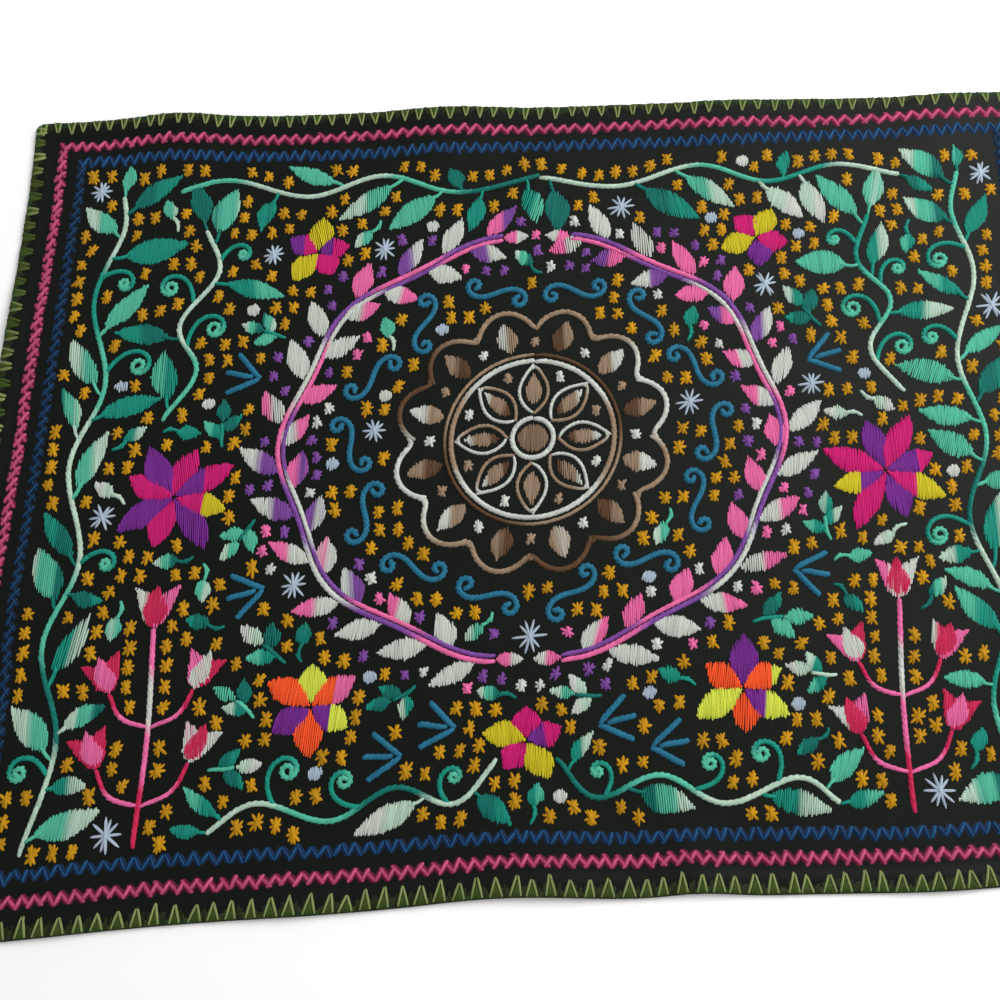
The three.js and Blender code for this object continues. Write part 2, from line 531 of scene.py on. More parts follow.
PINK_ROWS = four_edges(
    top=BorderRow((16.0, 12.8), (6.5, 8.1), 6.0, (0.16, 0.16), 2.0, 1.0),
    bottom=BorderRow((17.9, 17.6), (6.6, 6.5), 6.3, (0.08, 0.2), 2.0, 1.0),
    side=BorderRow((17.2, 16.8), (6.2, 6.2), 5.2, (0.4, 0.4), -2.0, 0.92),
)
# In the upper pink layer the stitches that climb to the right take painted light and the others painted
# shade: two tones of one thread.
# The first pink layer is wide dark under stitches: partly the thread's lower plies, partly painted shade
# round each strand and in the gaps between them.
PINK_LAYERS = (RowLayer(4.6, (0.3, 0.4), "wine wine"), RowLayer(2.2, (1.3, 1.15), "rose claret"))
BLUE_ROWS = four_edges(
    top=BorderRow((27.2, 22.8), (6.1, 6.6), 7.0, (0.06, 0.06), 2.0, 0.95),
    bottom=BorderRow((29.6, 28.8), (7.5, 6.9), 6.4, (0.0, 0.02), 2.0, 1.0),
    side=BorderRow((28.6, 28.6), (6.3, 6.3), 5.2, (0.35, 0.35), -2.0, 0.5),
)
# In the upper blue layer the stitches that climb to the right take painted light and the others painted
# shade: two tones of one thread.
# The first blue layer is wide dark under stitches: partly the thread's lower plies, partly painted shade
# round each strand and in the gaps between them.
BLUE_LAYERS = (RowLayer(4.2, (0.3, 0.4), "navy navy"), RowLayer(1.3, (1.1, 1.0), "steel cobalt"))
EDGE_ROWS = four_edges(
    top=EdgeRow((7.9, 10.0), 7.8, 2.3, 0.15, 1.2, 0.0),
    bottom=EdgeRow((9.6, 9.0), 10.2, 3.1, 0.15, 1.45, 0.04),
    side=EdgeRow((8.8, 8.8), 7.4, 2.5, 0.8, 2.1, 0.36),
)


def length_value(name, description, millimetres):
    """A length property with its default in millimetres."""
    return FloatProperty(name=name, description=description, default=millimetres * MM, min=0.0, unit="LENGTH")


def dye_value(name, description, red, green, blue):
    """A colour property with its default as display values from 0 to 255."""
    return FloatVectorProperty(
        name=name,
        description=description,
        default=(red / 255, green / 255, blue / 255),
        min=0.0,
        max=1.0,
        size=3,
        subtype="COLOR_GAMMA",
    )


class ClothSizes(PropertyGroup):
    """Sizes of the cotton sheet."""

    width: length_value("Width", "Long edge of the cloth, pulled flat", 600)
    depth: length_value("Depth", "Short edge of the cloth, pulled flat", 446)
    thickness: length_value("Thickness", "Thickness of the cotton between the hems", 1.2)
    hem_thickness: length_value("Hem thickness", "Thickness of the doubled hem", 2.0)
    hem_width: length_value("Hem width", "Width of the turned hem", 9)
    grid_step: length_value("Grid step", "Largest step between the lines of the sheet's grid", 3.4)
    skew: FloatProperty(
        name="Skew",
        description="Lean of the short edges, because the weave lies askew",
        default=math.radians(3.8),
        subtype="ANGLE",
    )


class ThreadSizes(PropertyGroup):
    """Sizes of the embroidery thread and its stitches."""

    satin_pitch: length_value("Satin pitch", "Distance between two satin stitches", 0.82)
    satin_width: length_value("Satin width", "Width of one satin stitch", 1.26)
    satin_rise: length_value("Satin rise", "Height of a satin stitch over the cotton", 0.7)
    stem_width: length_value("Stem strand", "Width of one stem stitch", 2.6)
    stem_rise: length_value("Stem rise", "Height of a stem stitch over the cotton", 1.05)
    star_size: length_value("Star height", "Height of one filling star", 9.0)
    star_gap: length_value("Star gap", "Least distance between the middles of two filling stars", 9.9)


class ThreadDyes(PropertyGroup):
    """Colours of the embroidery thread."""

    amber: dye_value("Amber", "Filling stars", 180, 130, 4)
    # This dye and the darker one below it are one pink thread: painted light on the stitches that climb to
    # the right, painted shade on the others.
    rose: dye_value("Rose", "Upper stitches of the herringbone row", 184, 78, 114)
    claret: dye_value("Claret", "Middle stitches of the herringbone row", 166, 60, 98)
    # Partly the thread's lower plies, partly painted shade round the strands of the herringbone row.
    wine: dye_value("Wine", "Dark under stitches of the herringbone row", 100, 16, 48)
    # This dye and the darker one below it are one blue thread: painted light on the stitches that climb to
    # the right, painted shade on the others.
    steel: dye_value("Steel blue", "Upper stitches of the zigzag row", 28, 80, 122)
    cobalt: dye_value("Cobalt", "Middle stitches of the zigzag row", 20, 64, 108)
    # Partly the thread's lower plies, partly painted shade round the strands of the zigzag row.
    navy: dye_value("Navy", "Dark under stitches of the zigzag row", 10, 36, 68)
    olive: dye_value("Olive", "Pointed stitches of the overcast edge", 122, 136, 82)
    moss: dye_value("Moss", "Strands between them", 54, 72, 22)
    pine: dye_value("Pine", "Dark strands that wrap the rim", 38, 52, 20)
    teal: dye_value("Teal", "Darkest leaf green", 4, 102, 92)
    jade: dye_value("Jade", "Middle leaf green", 14, 130, 112)
    mint: dye_value("Mint", "Pale leaf green", 76, 170, 144)
    frost: dye_value("Frost", "Nearly white leaf green", 168, 192, 174)
    ivory: dye_value("Ivory", "White thread", 186, 191, 182)
    violet: dye_value("Violet", "Wreath and petals", 114, 66, 142)
    plum: dye_value("Plum", "Petals", 108, 34, 130)
    magenta: dye_value("Magenta", "Petals", 190, 18, 104)
    pink: dye_value("Pink", "Wreath and petals", 214, 98, 150)
    crimson: dye_value("Crimson", "Tulips", 186, 32, 76)
    yellow: dye_value("Yellow", "Petals", 190, 176, 26)
    lime: dye_value("Lime", "Petals", 196, 206, 66)
    orange: dye_value("Orange", "Petals", 232, 82, 34)
    scroll: dye_value("Scroll blue", "Scrolls and fans", 30, 100, 128)
    haze: dye_value("Haze blue", "Pale stars and dots", 158, 172, 186)
    brown: dye_value("Brown", "Rosette", 84, 58, 38)
    taupe: dye_value("Taupe", "Rosette", 140, 118, 96)


class StageLook(PropertyGroup):
    """Floor and light of the studio."""

    floor: dye_value("Floor", "Colour of the floor", 249, 249, 248)
    lamp_power: FloatProperty(
        name="Lamp power", description="Power of the large lamp", default=22.0, unit="POWER"
    )
    surround: FloatProperty(
        name="Surround", description="Brightness of the light from all round", default=0.6
    )


def cloth_mm(name):
    """A size of the sheet in millimetres."""
    return getattr(bpy.context.scene.cloth_sizes, name) / MM


def thread_mm(name):
    """A size of the thread or its stitches in millimetres."""
    return getattr(bpy.context.scene.thread_sizes, name) / MM


def dye(name):
    """A thread colour as linear red, green and blue."""
    shown = np.array(getattr(bpy.context.scene.thread_dyes, name))
    return np.where(shown <= 0.04045, shown / 12.92, ((shown + 0.055) / 1.055) ** 2.4)


def dyes(names):
    """Several thread colours, one row for each name."""
    return np.array([dye(name) for name in names.split()])


def half_sizes():
    """Half the flat cloth's width and depth."""
    return cloth_mm("width") / 2, cloth_mm("depth") / 2


def bell(distance, spread):
    """A smooth hump of height one."""
    return np.exp(-((distance / spread) ** 2))


def from_edges(u, v):
    """Flat points as seen from each edge: place along it, half its length, distance inside it, way out."""
    half_u, half_v = half_sizes()
    return {
        "top": (u, half_u, half_v - v, (0, 1)),
        "bottom": (u, half_u, half_v + v, (0, -1)),
        "left": (v, half_v, half_u + u, (-1, 0)),
        "right": (v, half_v, half_u - u, (1, 0)),
    }


def round_corner(u, v):
    """Flat points with the square corners drawn in to quarter rounds."""
    half_u, half_v = half_sizes()
    past_u = np.abs(u) - (half_u - CORNER_RADIUS)
    past_v = np.abs(v) - (half_v - CORNER_RADIUS)
    past = np.maximum(np.hypot(past_u, past_v), TINY)
    draw = np.where((past_u > 0) & (past_v > 0), np.maximum(past_u, past_v) / past - 1, 0.0)
    return u + np.sign(u) * past_u * draw, v + np.sign(v) * past_v * draw


def laid_place(u, v):
    """Where flat points lie once the corners are rounded, the edges bow and the weave skews."""
    u, v = round_corner(u, v)
    shift_u = np.zeros_like(u)
    shift_v = np.zeros_like(v)
    for edge, (along, _, inset, outward) in from_edges(u, v).items():
        for place, push, spread in EDGE_BOWS[edge]:
            amount = push * bell(along - place, spread) * bell(inset, BOW_REACH)
            shift_u = shift_u + outward[0] * amount
            shift_v = shift_v + outward[1] * amount
    up = v + shift_v
    skew = bpy.context.scene.cloth_sizes.skew
    return u + shift_u + up * math.sin(skew), up * math.cos(skew)


def lift(u, v):
    """Height of the sheet's underside over the floor."""
    ridges = np.zeros_like(u)
    for middle, heading, half_length, half_width, height in PUCKERS:
        angle = math.radians(heading)
        du = u - middle[0]
        dv = v - middle[1]
        along = du * math.cos(angle) + dv * math.sin(angle)
        across = dv * math.cos(angle) - du * math.sin(angle)
        ridges = ridges + height * bell(along, half_length) * bell(across, half_width)
    for along, half, inset, _ in from_edges(u, v).values():
        ridges = ridges + EDGE_RISE * (1 - (along / half) ** 2) * bell(inset, EDGE_RISE_REACH)
    rise = np.maximum(0, ridges - PUCKER_FLOOR)
    return rise * rise / (rise + PUCKER_EASE)


def edge_distance(u, v):
    """Distance of flat points inside the nearest edge."""
    half_u, half_v = half_sizes()
    return np.minimum(half_u - np.abs(u), half_v - np.abs(v))


def face_height(u, v):
    """Height of the sheet's face over the floor, with its faint ripple."""
    past = np.clip((edge_distance(u, v) - cloth_mm("hem_width")) / HEM_STEP, 0, 1)
    hem = cloth_mm("hem_thickness")
    ripple = sum(np.sin(along * u + up * v + start) for along, up, start in RIPPLE_WAVES)
    thickness = hem + (cloth_mm("thickness") - hem) * past
    return lift(u, v) + thickness + RIPPLE_HEIGHT * ripple / len(RIPPLE_WAVES)


def outline_middle():
    """Middle of the laid cloth's box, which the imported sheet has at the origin."""
    half_u, half_v = half_sizes()
    u = np.linspace(-half_u, half_u, LONG_RIM_POINTS)
    v = np.linspace(-half_v, half_v, SHORT_RIM_POINTS)
    rim_u = np.concatenate([u, u, np.full_like(v, -half_u), np.full_like(v, half_u)])
    rim_v = np.concatenate([np.full_like(u, -half_v), np.full_like(u, half_v), v, v])
    x, y = laid_place(rim_u, rim_v)
    return (x.min() + x.max()) / 2, (y.min() + y.max()) / 2


def world_points(u, v, z):
    """Points in metres for flat places and heights over the floor in millimetres."""
    x, y = laid_place(u, v)
    middle_x, middle_y = outline_middle()
    return np.stack([x - middle_x, y - middle_y, z], axis=-1) * MM


def quad_mesh(name, points, quads):
    """A smooth mesh of four-sided faces from whole arrays."""
    mesh = bpy.data.meshes.new(name)
    mesh.vertices.add(len(points))
    mesh.vertices.foreach_set("co", points.astype(np.float32).ravel())
    mesh.loops.add(quads.size)
    mesh.loops.foreach_set("vertex_index", quads.astype(np.int32).ravel())
    mesh.polygons.add(len(quads))
    mesh.polygons.foreach_set("loop_start", np.arange(0, quads.size, 4, dtype=np.int32))
    mesh.update(calc_edges=True)
    mesh.shade_smooth()
    return mesh


def add_map(mesh, name, places, quads):
    """A UV map from one place for each vertex."""
    layer = mesh.uv_layers.new(name=name)
    layer.uv.foreach_set("vector", places[quads.ravel()].astype(np.float32).ravel())


def add_piece(name, mesh, material):
    """An object that rides on the cloth, attached to the root body."""
    mesh.materials.append(material)
    piece = bpy.data.objects.new(name, mesh)
    bpy.context.scene.collection.objects.link(piece)
    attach(piece, "root")
    return piece


def round_steps(reach):
    """Whole steps aside and up that stay within reach."""
    steps = np.arange(-math.ceil(reach), math.ceil(reach) + 1)
    steps = np.stack(np.meshgrid(steps, steps), axis=-1).reshape(-1, 2)
    return steps[np.hypot(*steps.T) <= reach]


class Ground:
    """Keeps which square millimetres of the field are already stitched."""

    taken = None
    half = None

    def clear(self):
        """Frees the field inside the border and takes the border itself."""
        self.half = np.array(half_sizes())
        rims = {
            edge: max(row.insets) + 0.5 * row.height + BORDER_CLEARANCE for edge, row in BLUE_ROWS.items()
        }
        low = np.array([rims["left"], rims["bottom"]])
        high = 2 * self.half - (rims["right"], rims["top"])
        first_column, first_row = np.round(low).astype(int)
        last_column, last_row = np.round(high).astype(int)
        columns, rows = np.round(2 * self.half).astype(int)
        self.taken = np.ones((rows, columns), bool)
        self.taken[first_row:last_row, first_column:last_column] = False

    def cells(self, points):
        """Row and column of the cell under each flat point."""
        index = np.floor(np.asarray(points) + self.half).astype(int)
        columns = np.clip(index[..., 0], 0, self.taken.shape[1] - 1)
        rows = np.clip(index[..., 1], 0, self.taken.shape[0] - 1)
        return rows, columns

    def share_taken(self, points):
        """Share of the points that lie on stitched cells."""
        return self.taken[self.cells(points)].mean()

    def grown(self, reach):
        """The stitched cells and all cells within reach of them."""
        wide = math.ceil(reach)
        padded = np.pad(self.taken, wide, constant_values=True)
        rows, columns = self.taken.shape
        grown = self.taken.copy()
        for right, down in round_steps(reach) + wide:
            grown |= padded[down : down + rows, right : right + columns]
        return grown

    def take(self, points, reach):
        """Takes the cells within reach of the points."""
        points = np.asarray(points).reshape(-1, 2)
        self.taken[self.cells(points[:, None] + round_steps(reach + CELL_ROUNDING))] = True


GROUND = Ground()


class Stitches:
    """Lays of thread gathered for one piece; each runs from a start to an end on the flat cloth."""

    def __init__(self, seed):
        self.rng = np.random.default_rng(seed)
        self.rows = []

    def lay(self, start, end, width, rise, tint, drop=SINK, tip=0.5):
        """Adds lays; width, rise, tint, drop and tip are one for all or one for each.

        Drop is how far the end comes down, and tip is the width of both ends as a share of the whole width.
        """
        start = np.atleast_2d(start).astype(float)
        end = np.atleast_2d(end).astype(float)
        count = len(start)
        tint = np.broadcast_to(np.atleast_2d(tint), (count, 3))
        shade = self.rng.normal(1.0, TINT_SPREAD, (count, 1))
        columns = [np.broadcast_to(np.asarray(x, float), count)[:, None] for x in (width, rise, drop, tip)]
        self.rows.append(np.hstack([start, end, *columns, np.clip(tint * shade, 0.0, 1.0)]))

    def mesh(self, name):
        """One mesh of all lays, with its colours and maps."""
        rows = np.concatenate(self.rows)
        start, end = rows[:, 0:2], rows[:, 2:4]
        width, rise, drop, tip = rows[:, 4:8].T
        tint = rows[:, 8:11]
        run = end - start
        length = np.maximum(np.hypot(*run.T), TINY)
        side = np.stack([-run[:, 1], run[:, 0]], axis=1) / length[:, None]

        ends = np.zeros((len(rows), len(LAY_PLACES)))
        ends[:, 0] = SINK
        ends[:, -1] = drop
        middle = start[:, None] + run[:, None] * LAY_PLACES[None, :, None]
        spread = width[:, None] * (1 - (1 - tip)[:, None] * LAY_TAPER)
        across = spread[:, :, None] * SECTION_ACROSS
        flat = middle[:, :, None] + side[:, None, None] * across[..., None]
        crown = rise[:, None] * LAY_RISE - ends
        skirt = -np.maximum(ends, SINK)
        height = crown[:, :, None] * SECTION_CROWN + skirt[:, :, None] * (1 - SECTION_CROWN)

        u, v = flat[..., 0].ravel(), flat[..., 1].ravel()
        points = world_points(u, v, face_height(u, v) + height.ravel())
        rings, section = len(LAY_PLACES), len(SECTION_ACROSS)
        corner = np.arange(len(rows))[:, None, None] * rings * section
        corner = corner + np.arange(rings - 1)[None, :, None] * section + np.arange(section - 1)
        quads = np.stack([corner, corner + section, corner + section + 1, corner + 1], axis=-1).reshape(-1, 4)

        mesh = quad_mesh(name, points, quads)
        shape = flat.shape[:3]
        along = np.broadcast_to((length[:, None] * LAY_PLACES)[:, :, None], shape)
        aside = np.broadcast_to(SECTION_ACROSS + 0.5, shape)
        add_map(mesh, "Strand", np.stack([along.ravel(), aside.ravel()], axis=1), quads)
        add_map(mesh, "OFBake", np.stack([u, v], axis=1) / (2 * max(half_sizes())) + 0.5, quads)
        colours = np.ones((*shape, 4))
        colours[..., :3] = tint[:, None, None]
        layer = mesh.color_attributes.new("Thread", "FLOAT_COLOR", "POINT")
        layer.data.foreach_set("color", colours.astype(np.float32).ravel())
        return mesh

    def add_piece(self, name, material):
        """Adds the lays to the scene as one piece."""
        return add_piece(name, self.mesh(name), material)


def way(angle):
    """Unit step at an angle."""
    return np.array([math.cos(angle), math.sin(angle)])


def ways(angles):
    """Unit steps at many angles, one row each."""
    return np.stack([np.cos(angles), np.sin(angles)], axis=1)


def turned(points, angle):
    """Points turned about the origin."""
    across, up = way(angle)
    return points @ np.array([[across, up], [-up, across]])


def mirrored(points, side):
    """Points on the half of the cloth with that sign."""
    return np.asarray(points, float) * (side, 1)


def path_run(path):
    """Distance along a line at each of its points."""
    return np.concatenate([[0], np.cumsum(np.hypot(*np.diff(path, axis=0).T))])


def points_at(path, run):
    """Points at distances along a line."""
    along = path_run(path)
    return np.stack([np.interp(run, along, path[:, k]) for k in (0, 1)], axis=-1)


def at_run(path, run):
    """Points and headings at distances along a line."""
    step = points_at(path, run + HEADING_REACH) - points_at(path, run - HEADING_REACH)
    return points_at(path, run), np.arctan2(step[..., 1], step[..., 0])


def even_steps(path):
    """A line resampled at even steps."""
    total = path_run(path)[-1]
    return points_at(path, np.linspace(0, total, max(2, round(total / PATH_STEP)) + 1))


def smooth_path(points):
    """A smooth line through the points, at even steps."""
    points = np.asarray(points, float)
    padded = np.vstack([2 * points[0] - points[1], points, 2 * points[-1] - points[-2]])
    t = np.linspace(0, 1, SPAN_STEPS, endpoint=False)[:, None]
    spans = []
    for a, b, c, d in zip(padded, padded[1:], padded[2:], padded[3:]):
        bend = (2 * a - 5 * b + 4 * c - d) * t**2 + (3 * b - a - 3 * c + d) * t**3
        spans.append(b + 0.5 * ((c - a) * t + bend))
    return even_steps(np.vstack([*spans, points[-1:]]))


def curl_path(start, heading, length, first_turn, last_turn, power):
    """A line whose turning, in radians a millimetre, grows from the first value to the last."""
    place = np.arange(0, length, PATH_STEP) / length
    turn = first_turn + (last_turn - first_turn) * place**power
    steps = ways(heading + np.cumsum(turn) * PATH_STEP) * PATH_STEP
    return np.asarray(start) + np.vstack([[0, 0], np.cumsum(steps, axis=0)])


def disc_outline(centre, radius):
    """A round outline."""
    return centre + radius * ways(np.linspace(0, 2 * np.pi, 2 * OUTLINE_STEPS, endpoint=False))


def leaf_outline(base, tip, width, bend=0.0, fullness=LEAF_FULLNESS):
    """Outline of a pointed leaf or petal from its base to its tip."""
    s = np.linspace(0, 1, OUTLINE_STEPS)[:, None]
    axis = tip - base
    across = np.array([-axis[1], axis[0]]) / np.hypot(*axis)
    half = 0.5 * width * np.abs(np.sin(np.pi * s**fullness)) ** LEAF_ROUNDING
    spine = base + s * axis + bend * np.sin(np.pi * s) * across
    return np.vstack([spine + half * across, (spine - half * across)[-2:0:-1]])


def run_of_dye(tints, place, blend=DYE_BLEND):
    """Colours at places from 0 to 1 along thread dyed in turn with each tint; blend is the mixed share."""
    tints = np.atleast_2d(tints)
    stops = (np.arange(len(tints))[:, None] + (blend / 2, 1 - blend / 2)).ravel() / len(tints)
    held = np.repeat(tints, 2, axis=0)
    return np.stack([np.interp(place, stops, held[:, k]) for k in range(3)], axis=-1)


def satin_rows(outline, heading, pitch):
    """Starts and ends of parallel stitches that fill an outline."""
    along_way, row_way = way(heading), way(heading + math.pi / 2)
    along, row = outline @ along_way, outline @ row_way
    rows = np.arange(row.min() + FIRST_ROW * pitch, row.max(), pitch)[:, None]
    next_along, next_row = np.roll(along, -1), np.roll(row, -1)
    crossed = (row <= rows) != (next_row <= rows)
    climb = np.where(crossed, next_row - row, 1.0)
    hit = along + (rows - row) / climb * (next_along - along)
    low = np.where(crossed, hit, np.inf).min(axis=1)
    high = np.where(crossed, hit, -np.inf).max(axis=1)
    kept = high - low > SHORTEST_LAY
    low, high, rows = low[kept, None], high[kept, None], rows[kept]
    return rows * row_way + low * along_way, rows * row_way + high * along_way


def spread_points(starts, ends):
    """Points spread along stitches, about a millimetre apart."""
    longest = np.hypot(*(ends - starts).T).max()
    t = np.linspace(0, 1, math.ceil(longest) + 2)[None, :, None]
    return (starts[:, None] + (ends - starts)[:, None] * t).reshape(-1, 2)


def satin(stitches, outline, base, tip, tints, level=0.0, blend=DYE_BLEND, needs_room=False):
    """Fills an outline with satin stitches, dyed in turn from base to tip; False where there is no room."""
    rng = stitches.rng
    spacing = rng.uniform(*(SPARSE_SPACING if rng.random() < SPARSE_SHARE else EVEN_SPACING))
    heading = math.radians(SATIN_HEADING + rng.normal(0, SATIN_STRAY))
    starts, ends = satin_rows(outline, heading, thread_mm("satin_pitch") * spacing)
    count = len(starts)
    if count == 0:
        return False
    cover = spread_points(starts, ends)
    if needs_room and GROUND.share_taken(cover) > CROWDING:
        return False
    GROUND.take(cover, SATIN_CLEARANCE)
    axis = tip - base
    place = ((starts + ends) / 2 - base) @ axis / (axis @ axis)
    place = place + rng.normal(0, SATIN_DYE_STRAY, count)
    sway = way(heading) * rng.normal(*SATIN_OVERRUN, (count, 1))
    lean = way(heading + math.pi / 2) * rng.normal(0, SATIN_LEAN, (count, 1))
    width = thread_mm("satin_width") * rng.uniform(*SATIN_WIDTHS, count)
    rise = thread_mm("satin_rise") * rng.uniform(*SATIN_RISES, count) + level
    stitches.lay(starts - sway - lean, ends + sway + lean, width, rise, run_of_dye(tints, place, blend))
    return True


def leaf(stitches, base, tip, width, tints, bend=0.0, fullness=LEAF_FULLNESS, **filling):
    """A pointed leaf or petal in satin stitch; False where there is no room."""
    return satin(stitches, leaf_outline(base, tip, width, bend, fullness), base, tip, tints, **filling)


def stem(stitches, path, tints, strand=None, advance=STEM_ADVANCE):
    """A rope-like line of slanting stem stitches along a path."""
    rng = stitches.rng
    strand = strand or thread_mm("stem_width")
    total = path_run(path)[-1]
    starts = np.arange(0, max(total - STEM_LAST * advance, advance), advance)
    first = points_at(path, starts)
    last = points_at(path, np.minimum(starts + STEM_SPAN * advance, total))
    run = last - first
    side = np.stack([-run[:, 1], run[:, 0]], axis=1) / np.maximum(np.hypot(*run.T), TINY)[:, None]
    slant = side * STEM_SLANT * strand + rng.normal(0, STEM_STRAY, side.shape)
    rise = thread_mm("stem_rise") * rng.uniform(*STEM_RISES, len(starts))
    stitches.lay(first - slant, last + slant, strand, rise, run_of_dye(tints, starts / max(total, TINY)))
    GROUND.take(path[::2], STEM_COVER * strand + STEM_CLEARANCE)


def star(stitches, centre, size, tint, turn):
    """A filling star: a short level stitch, two crossing ones and one or two steep ones over them."""
    rng = stitches.rng
    count = len(STAR_STROKES) - (rng.random() >= FIVE_STROKES_SHARE)
    strokes = STAR_STROKES[:count] * size
    tips = strokes * rng.uniform(*STROKE_REACHES, (count, 1)) + rng.normal(0, STROKE_STRAY, (count, 2))
    tips = turned(tips, turn)
    middle = centre + rng.normal(0, STROKE_STRAY, (count, 2))
    width = rng.uniform(*STROKE_WIDTHS, count)
    rises = np.linspace(*STROKE_RISES, count)
    stitches.lay(middle - tips, middle + tips, width, rises, tint, tip=STROKE_TIP)


def ray_star(stitches, centre, radius, tint):
    """A loose star of long stitches that cross in the middle, the upright ones over the others."""
    rng = stitches.rng
    count = len(RAY_ANGLES)
    angles = np.radians(RAY_ANGLES) + rng.normal(0, RAY_STRAY, count)
    tips = ways(angles) * (radius * rng.uniform(*STROKE_REACHES, (count, 1)))
    rises = np.linspace(*RAY_RISES, count)
    stitches.lay(centre - tips, centre + tips, RAY_WIDTH, rises, tint, tip=STROKE_TIP)
    GROUND.take(spread_points(centre - tips, centre + tips), RAY_CLEARANCE)


def free_spots(rng, count, reach, gap, stray=None):
    """Up to count free middles with a clear reach round each and a least gap between them.

    They are found at random, or first in rows where stray says how far one may lie off its row.
    """
    blocked = GROUND.grown(reach)
    rows, columns = np.nonzero(~blocked)
    steps = np.arange(-math.ceil(gap), math.ceil(gap) + 1)
    near = np.hypot(*np.meshgrid(steps, steps)) < gap
    pad = len(steps) // 2
    blocked = np.pad(blocked, pad)
    spots = []
    order = rng.permutation(len(rows))
    if stray is not None:
        off_row = np.abs(rows % gap - 0.5 * gap) > stray
        order = np.lexsort((rng.random(len(rows)), columns, rows // gap, off_row))
    for index in order:
        row, column = rows[index], columns[index]
        if blocked[row + pad, column + pad]:
            continue
        blocked[row : row + len(steps), column : column + len(steps)] |= near
        spots.append(np.array([column + 0.5, row + 0.5]) - GROUND.half)
        if len(spots) == count:
            break
    return spots


def leaf_dyes(rng):
    """The dyes of one leaf: mostly greens, some of them running to white."""
    weights = np.array(list(LEAF_DYES.values()), float)
    return dyes(list(LEAF_DYES)[rng.choice(len(LEAF_DYES), p=weights / weights.sum())])


def stalked_leaf(stems, leaves, foot, angle, side, stalk, size, tints, tries=LEAF_TRIES):
    """A leaf on a short stalk, turned or shortened until it has room; False where it has none."""
    rng = leaves.rng
    for attempt in range(tries):
        scale = 1.0 - LEAF_SHRINK * attempt
        aim = angle + side * rng.normal(0, LEAF_SWING[0] + LEAF_SWING[1] * attempt)
        base = foot + way(aim) * stalk * scale
        tip = base + way(aim + side * rng.uniform(*LEAF_NODS)) * size[0] * scale
        bend = side * rng.uniform(-LEAF_BEND, LEAF_BEND)
        if leaf(leaves, base, tip, size[1] * scale, tints, bend, needs_room=True):
            turn, push = STALK_BOW
            bow = foot + (base - foot) * 0.5 + way(aim + side * turn) * push
            path = smooth_path([foot, bow, base + (tip - base) * STALK_END])
            stem(stems, path, tints[:1], strand=STALK_STRAND, advance=FINE_ADVANCE)
            return True
    return False


def curl(stitches, foot, heading, side, length):
    """A tendril that winds into a small spiral, if it has room."""
    first_turn, last_turn = side * CURL_FIRST_TURN, side * CURL_TURN / length
    path = curl_path(foot, heading, length, first_turn, last_turn, CURL_POWER)
    if GROUND.share_taken(path[CURL_FOOT_POINTS:]) == 0:
        stem(stitches, path, dyes("jade mint"), strand=CURL_STRAND, advance=CURL_ADVANCE)


def vine(stems, leaves, points, first_side, curls):
    """A leafy stem with alternate leaves, and curls at shares of its length."""
    rng = leaves.rng
    path = smooth_path(points)
    total = path_run(path)[-1]
    first_dye = rng.integers(len(STEM_DYES))
    runs = max(3, round(total / STEM_DYE_RUN))
    stem(stems, path, dyes(" ".join(STEM_DYES[(first_dye + i) % len(STEM_DYES)] for i in range(runs))))
    for share, side in curls:
        foot, heading = at_run(path, share * total)
        curl(stems, foot, heading + side * CURL_ASIDE, side, rng.uniform(*CURL_LENGTHS))
    side = first_side
    for place in np.arange(BARE_START, total - BARE_END, LEAF_SPACING):
        foot, heading = at_run(path, place + rng.uniform(-LEAF_STRAY, LEAF_STRAY))
        size = (rng.uniform(*LEAF_LENGTHS), rng.uniform(*LEAF_WIDTHS))
        angle = heading + side * rng.uniform(*LEAF_TURNS)
        stalk = rng.uniform(*LEAF_STALKS)
        if not stalked_leaf(stems, leaves, foot, angle, side, stalk, size, leaf_dyes(rng)):
            small = (size[0] * SMALL_LEAF[0], size[1] * SMALL_LEAF[1])
            stalked_leaf(stems, leaves, foot, angle, side, SMALL_STALK, small, leaf_dyes(rng))
        side = -side
    foot, heading = at_run(path, total)
    for size in LAST_LEAVES:
        if stalked_leaf(stems, leaves, foot, heading, 1, LAST_STALK, size, leaf_dyes(rng), LAST_TRIES):
            break


def sprig(stems, leaves, middle, aim, reach):
    """A short stem with a leaf at its tip and one on each side, inside a clear round."""
    rng = leaves.rng
    foot = middle - SPRIG_FOOT * reach * way(aim)
    top = middle + SPRIG_TOP * reach * way(aim)
    bend = middle - SPRIG_BEND * reach * way(aim + rng.uniform(-SPRIG_SWAY, SPRIG_SWAY))
    path = smooth_path([foot, bend, top])
    stem(stems, path, leaf_dyes(rng)[:1], strand=SPRIG_STRAND)
    length, width = SPRIG_LEAF_SIZE
    for place, turn in SPRIG_LEAVES:
        base, heading = at_run(path, place * path_run(path)[-1])
        heading = heading + turn
        base = base + SPRIG_LEAF_GAP * way(heading)
        leaf(leaves, base, base + length * reach * way(heading), width * reach, leaf_dyes(rng))


def lone_leaf(stems, leaves, middle, aim, reach):
    """One leaf on a curved stalk, inside a clear round."""
    rng = leaves.rng
    foot, base, tip = (middle + share * reach * way(aim) for share in LONE_LEAF_SPAN)
    turn, push = LONE_STALK_BOW
    bow = middle - push * reach * way(aim + rng.choice(SIDES) * turn)
    tints = leaf_dyes(rng)
    path = smooth_path([foot, bow, base + LONE_STALK_END * (tip - base)])
    stem(stems, path, tints[:1], strand=LONE_STALK_STRAND, advance=FINE_ADVANCE)
    leaf(leaves, base, tip, LONE_LEAF_WIDTH * reach, tints)


def tulip(stitches, foot, heading, size, lobe_dyes):
    """A three-lobed blossom that opens along its heading."""
    for (turn, reach, width, level), names in zip(TULIP_LOBES, lobe_dyes):
        tip = foot + size * reach * way(heading + turn)
        bend = -math.copysign(LOBE_BEND * size, turn) if turn else 0.0
        leaf(stitches, foot, tip, width * size, dyes(names), bend, TULIP_FULLNESS, level=level)


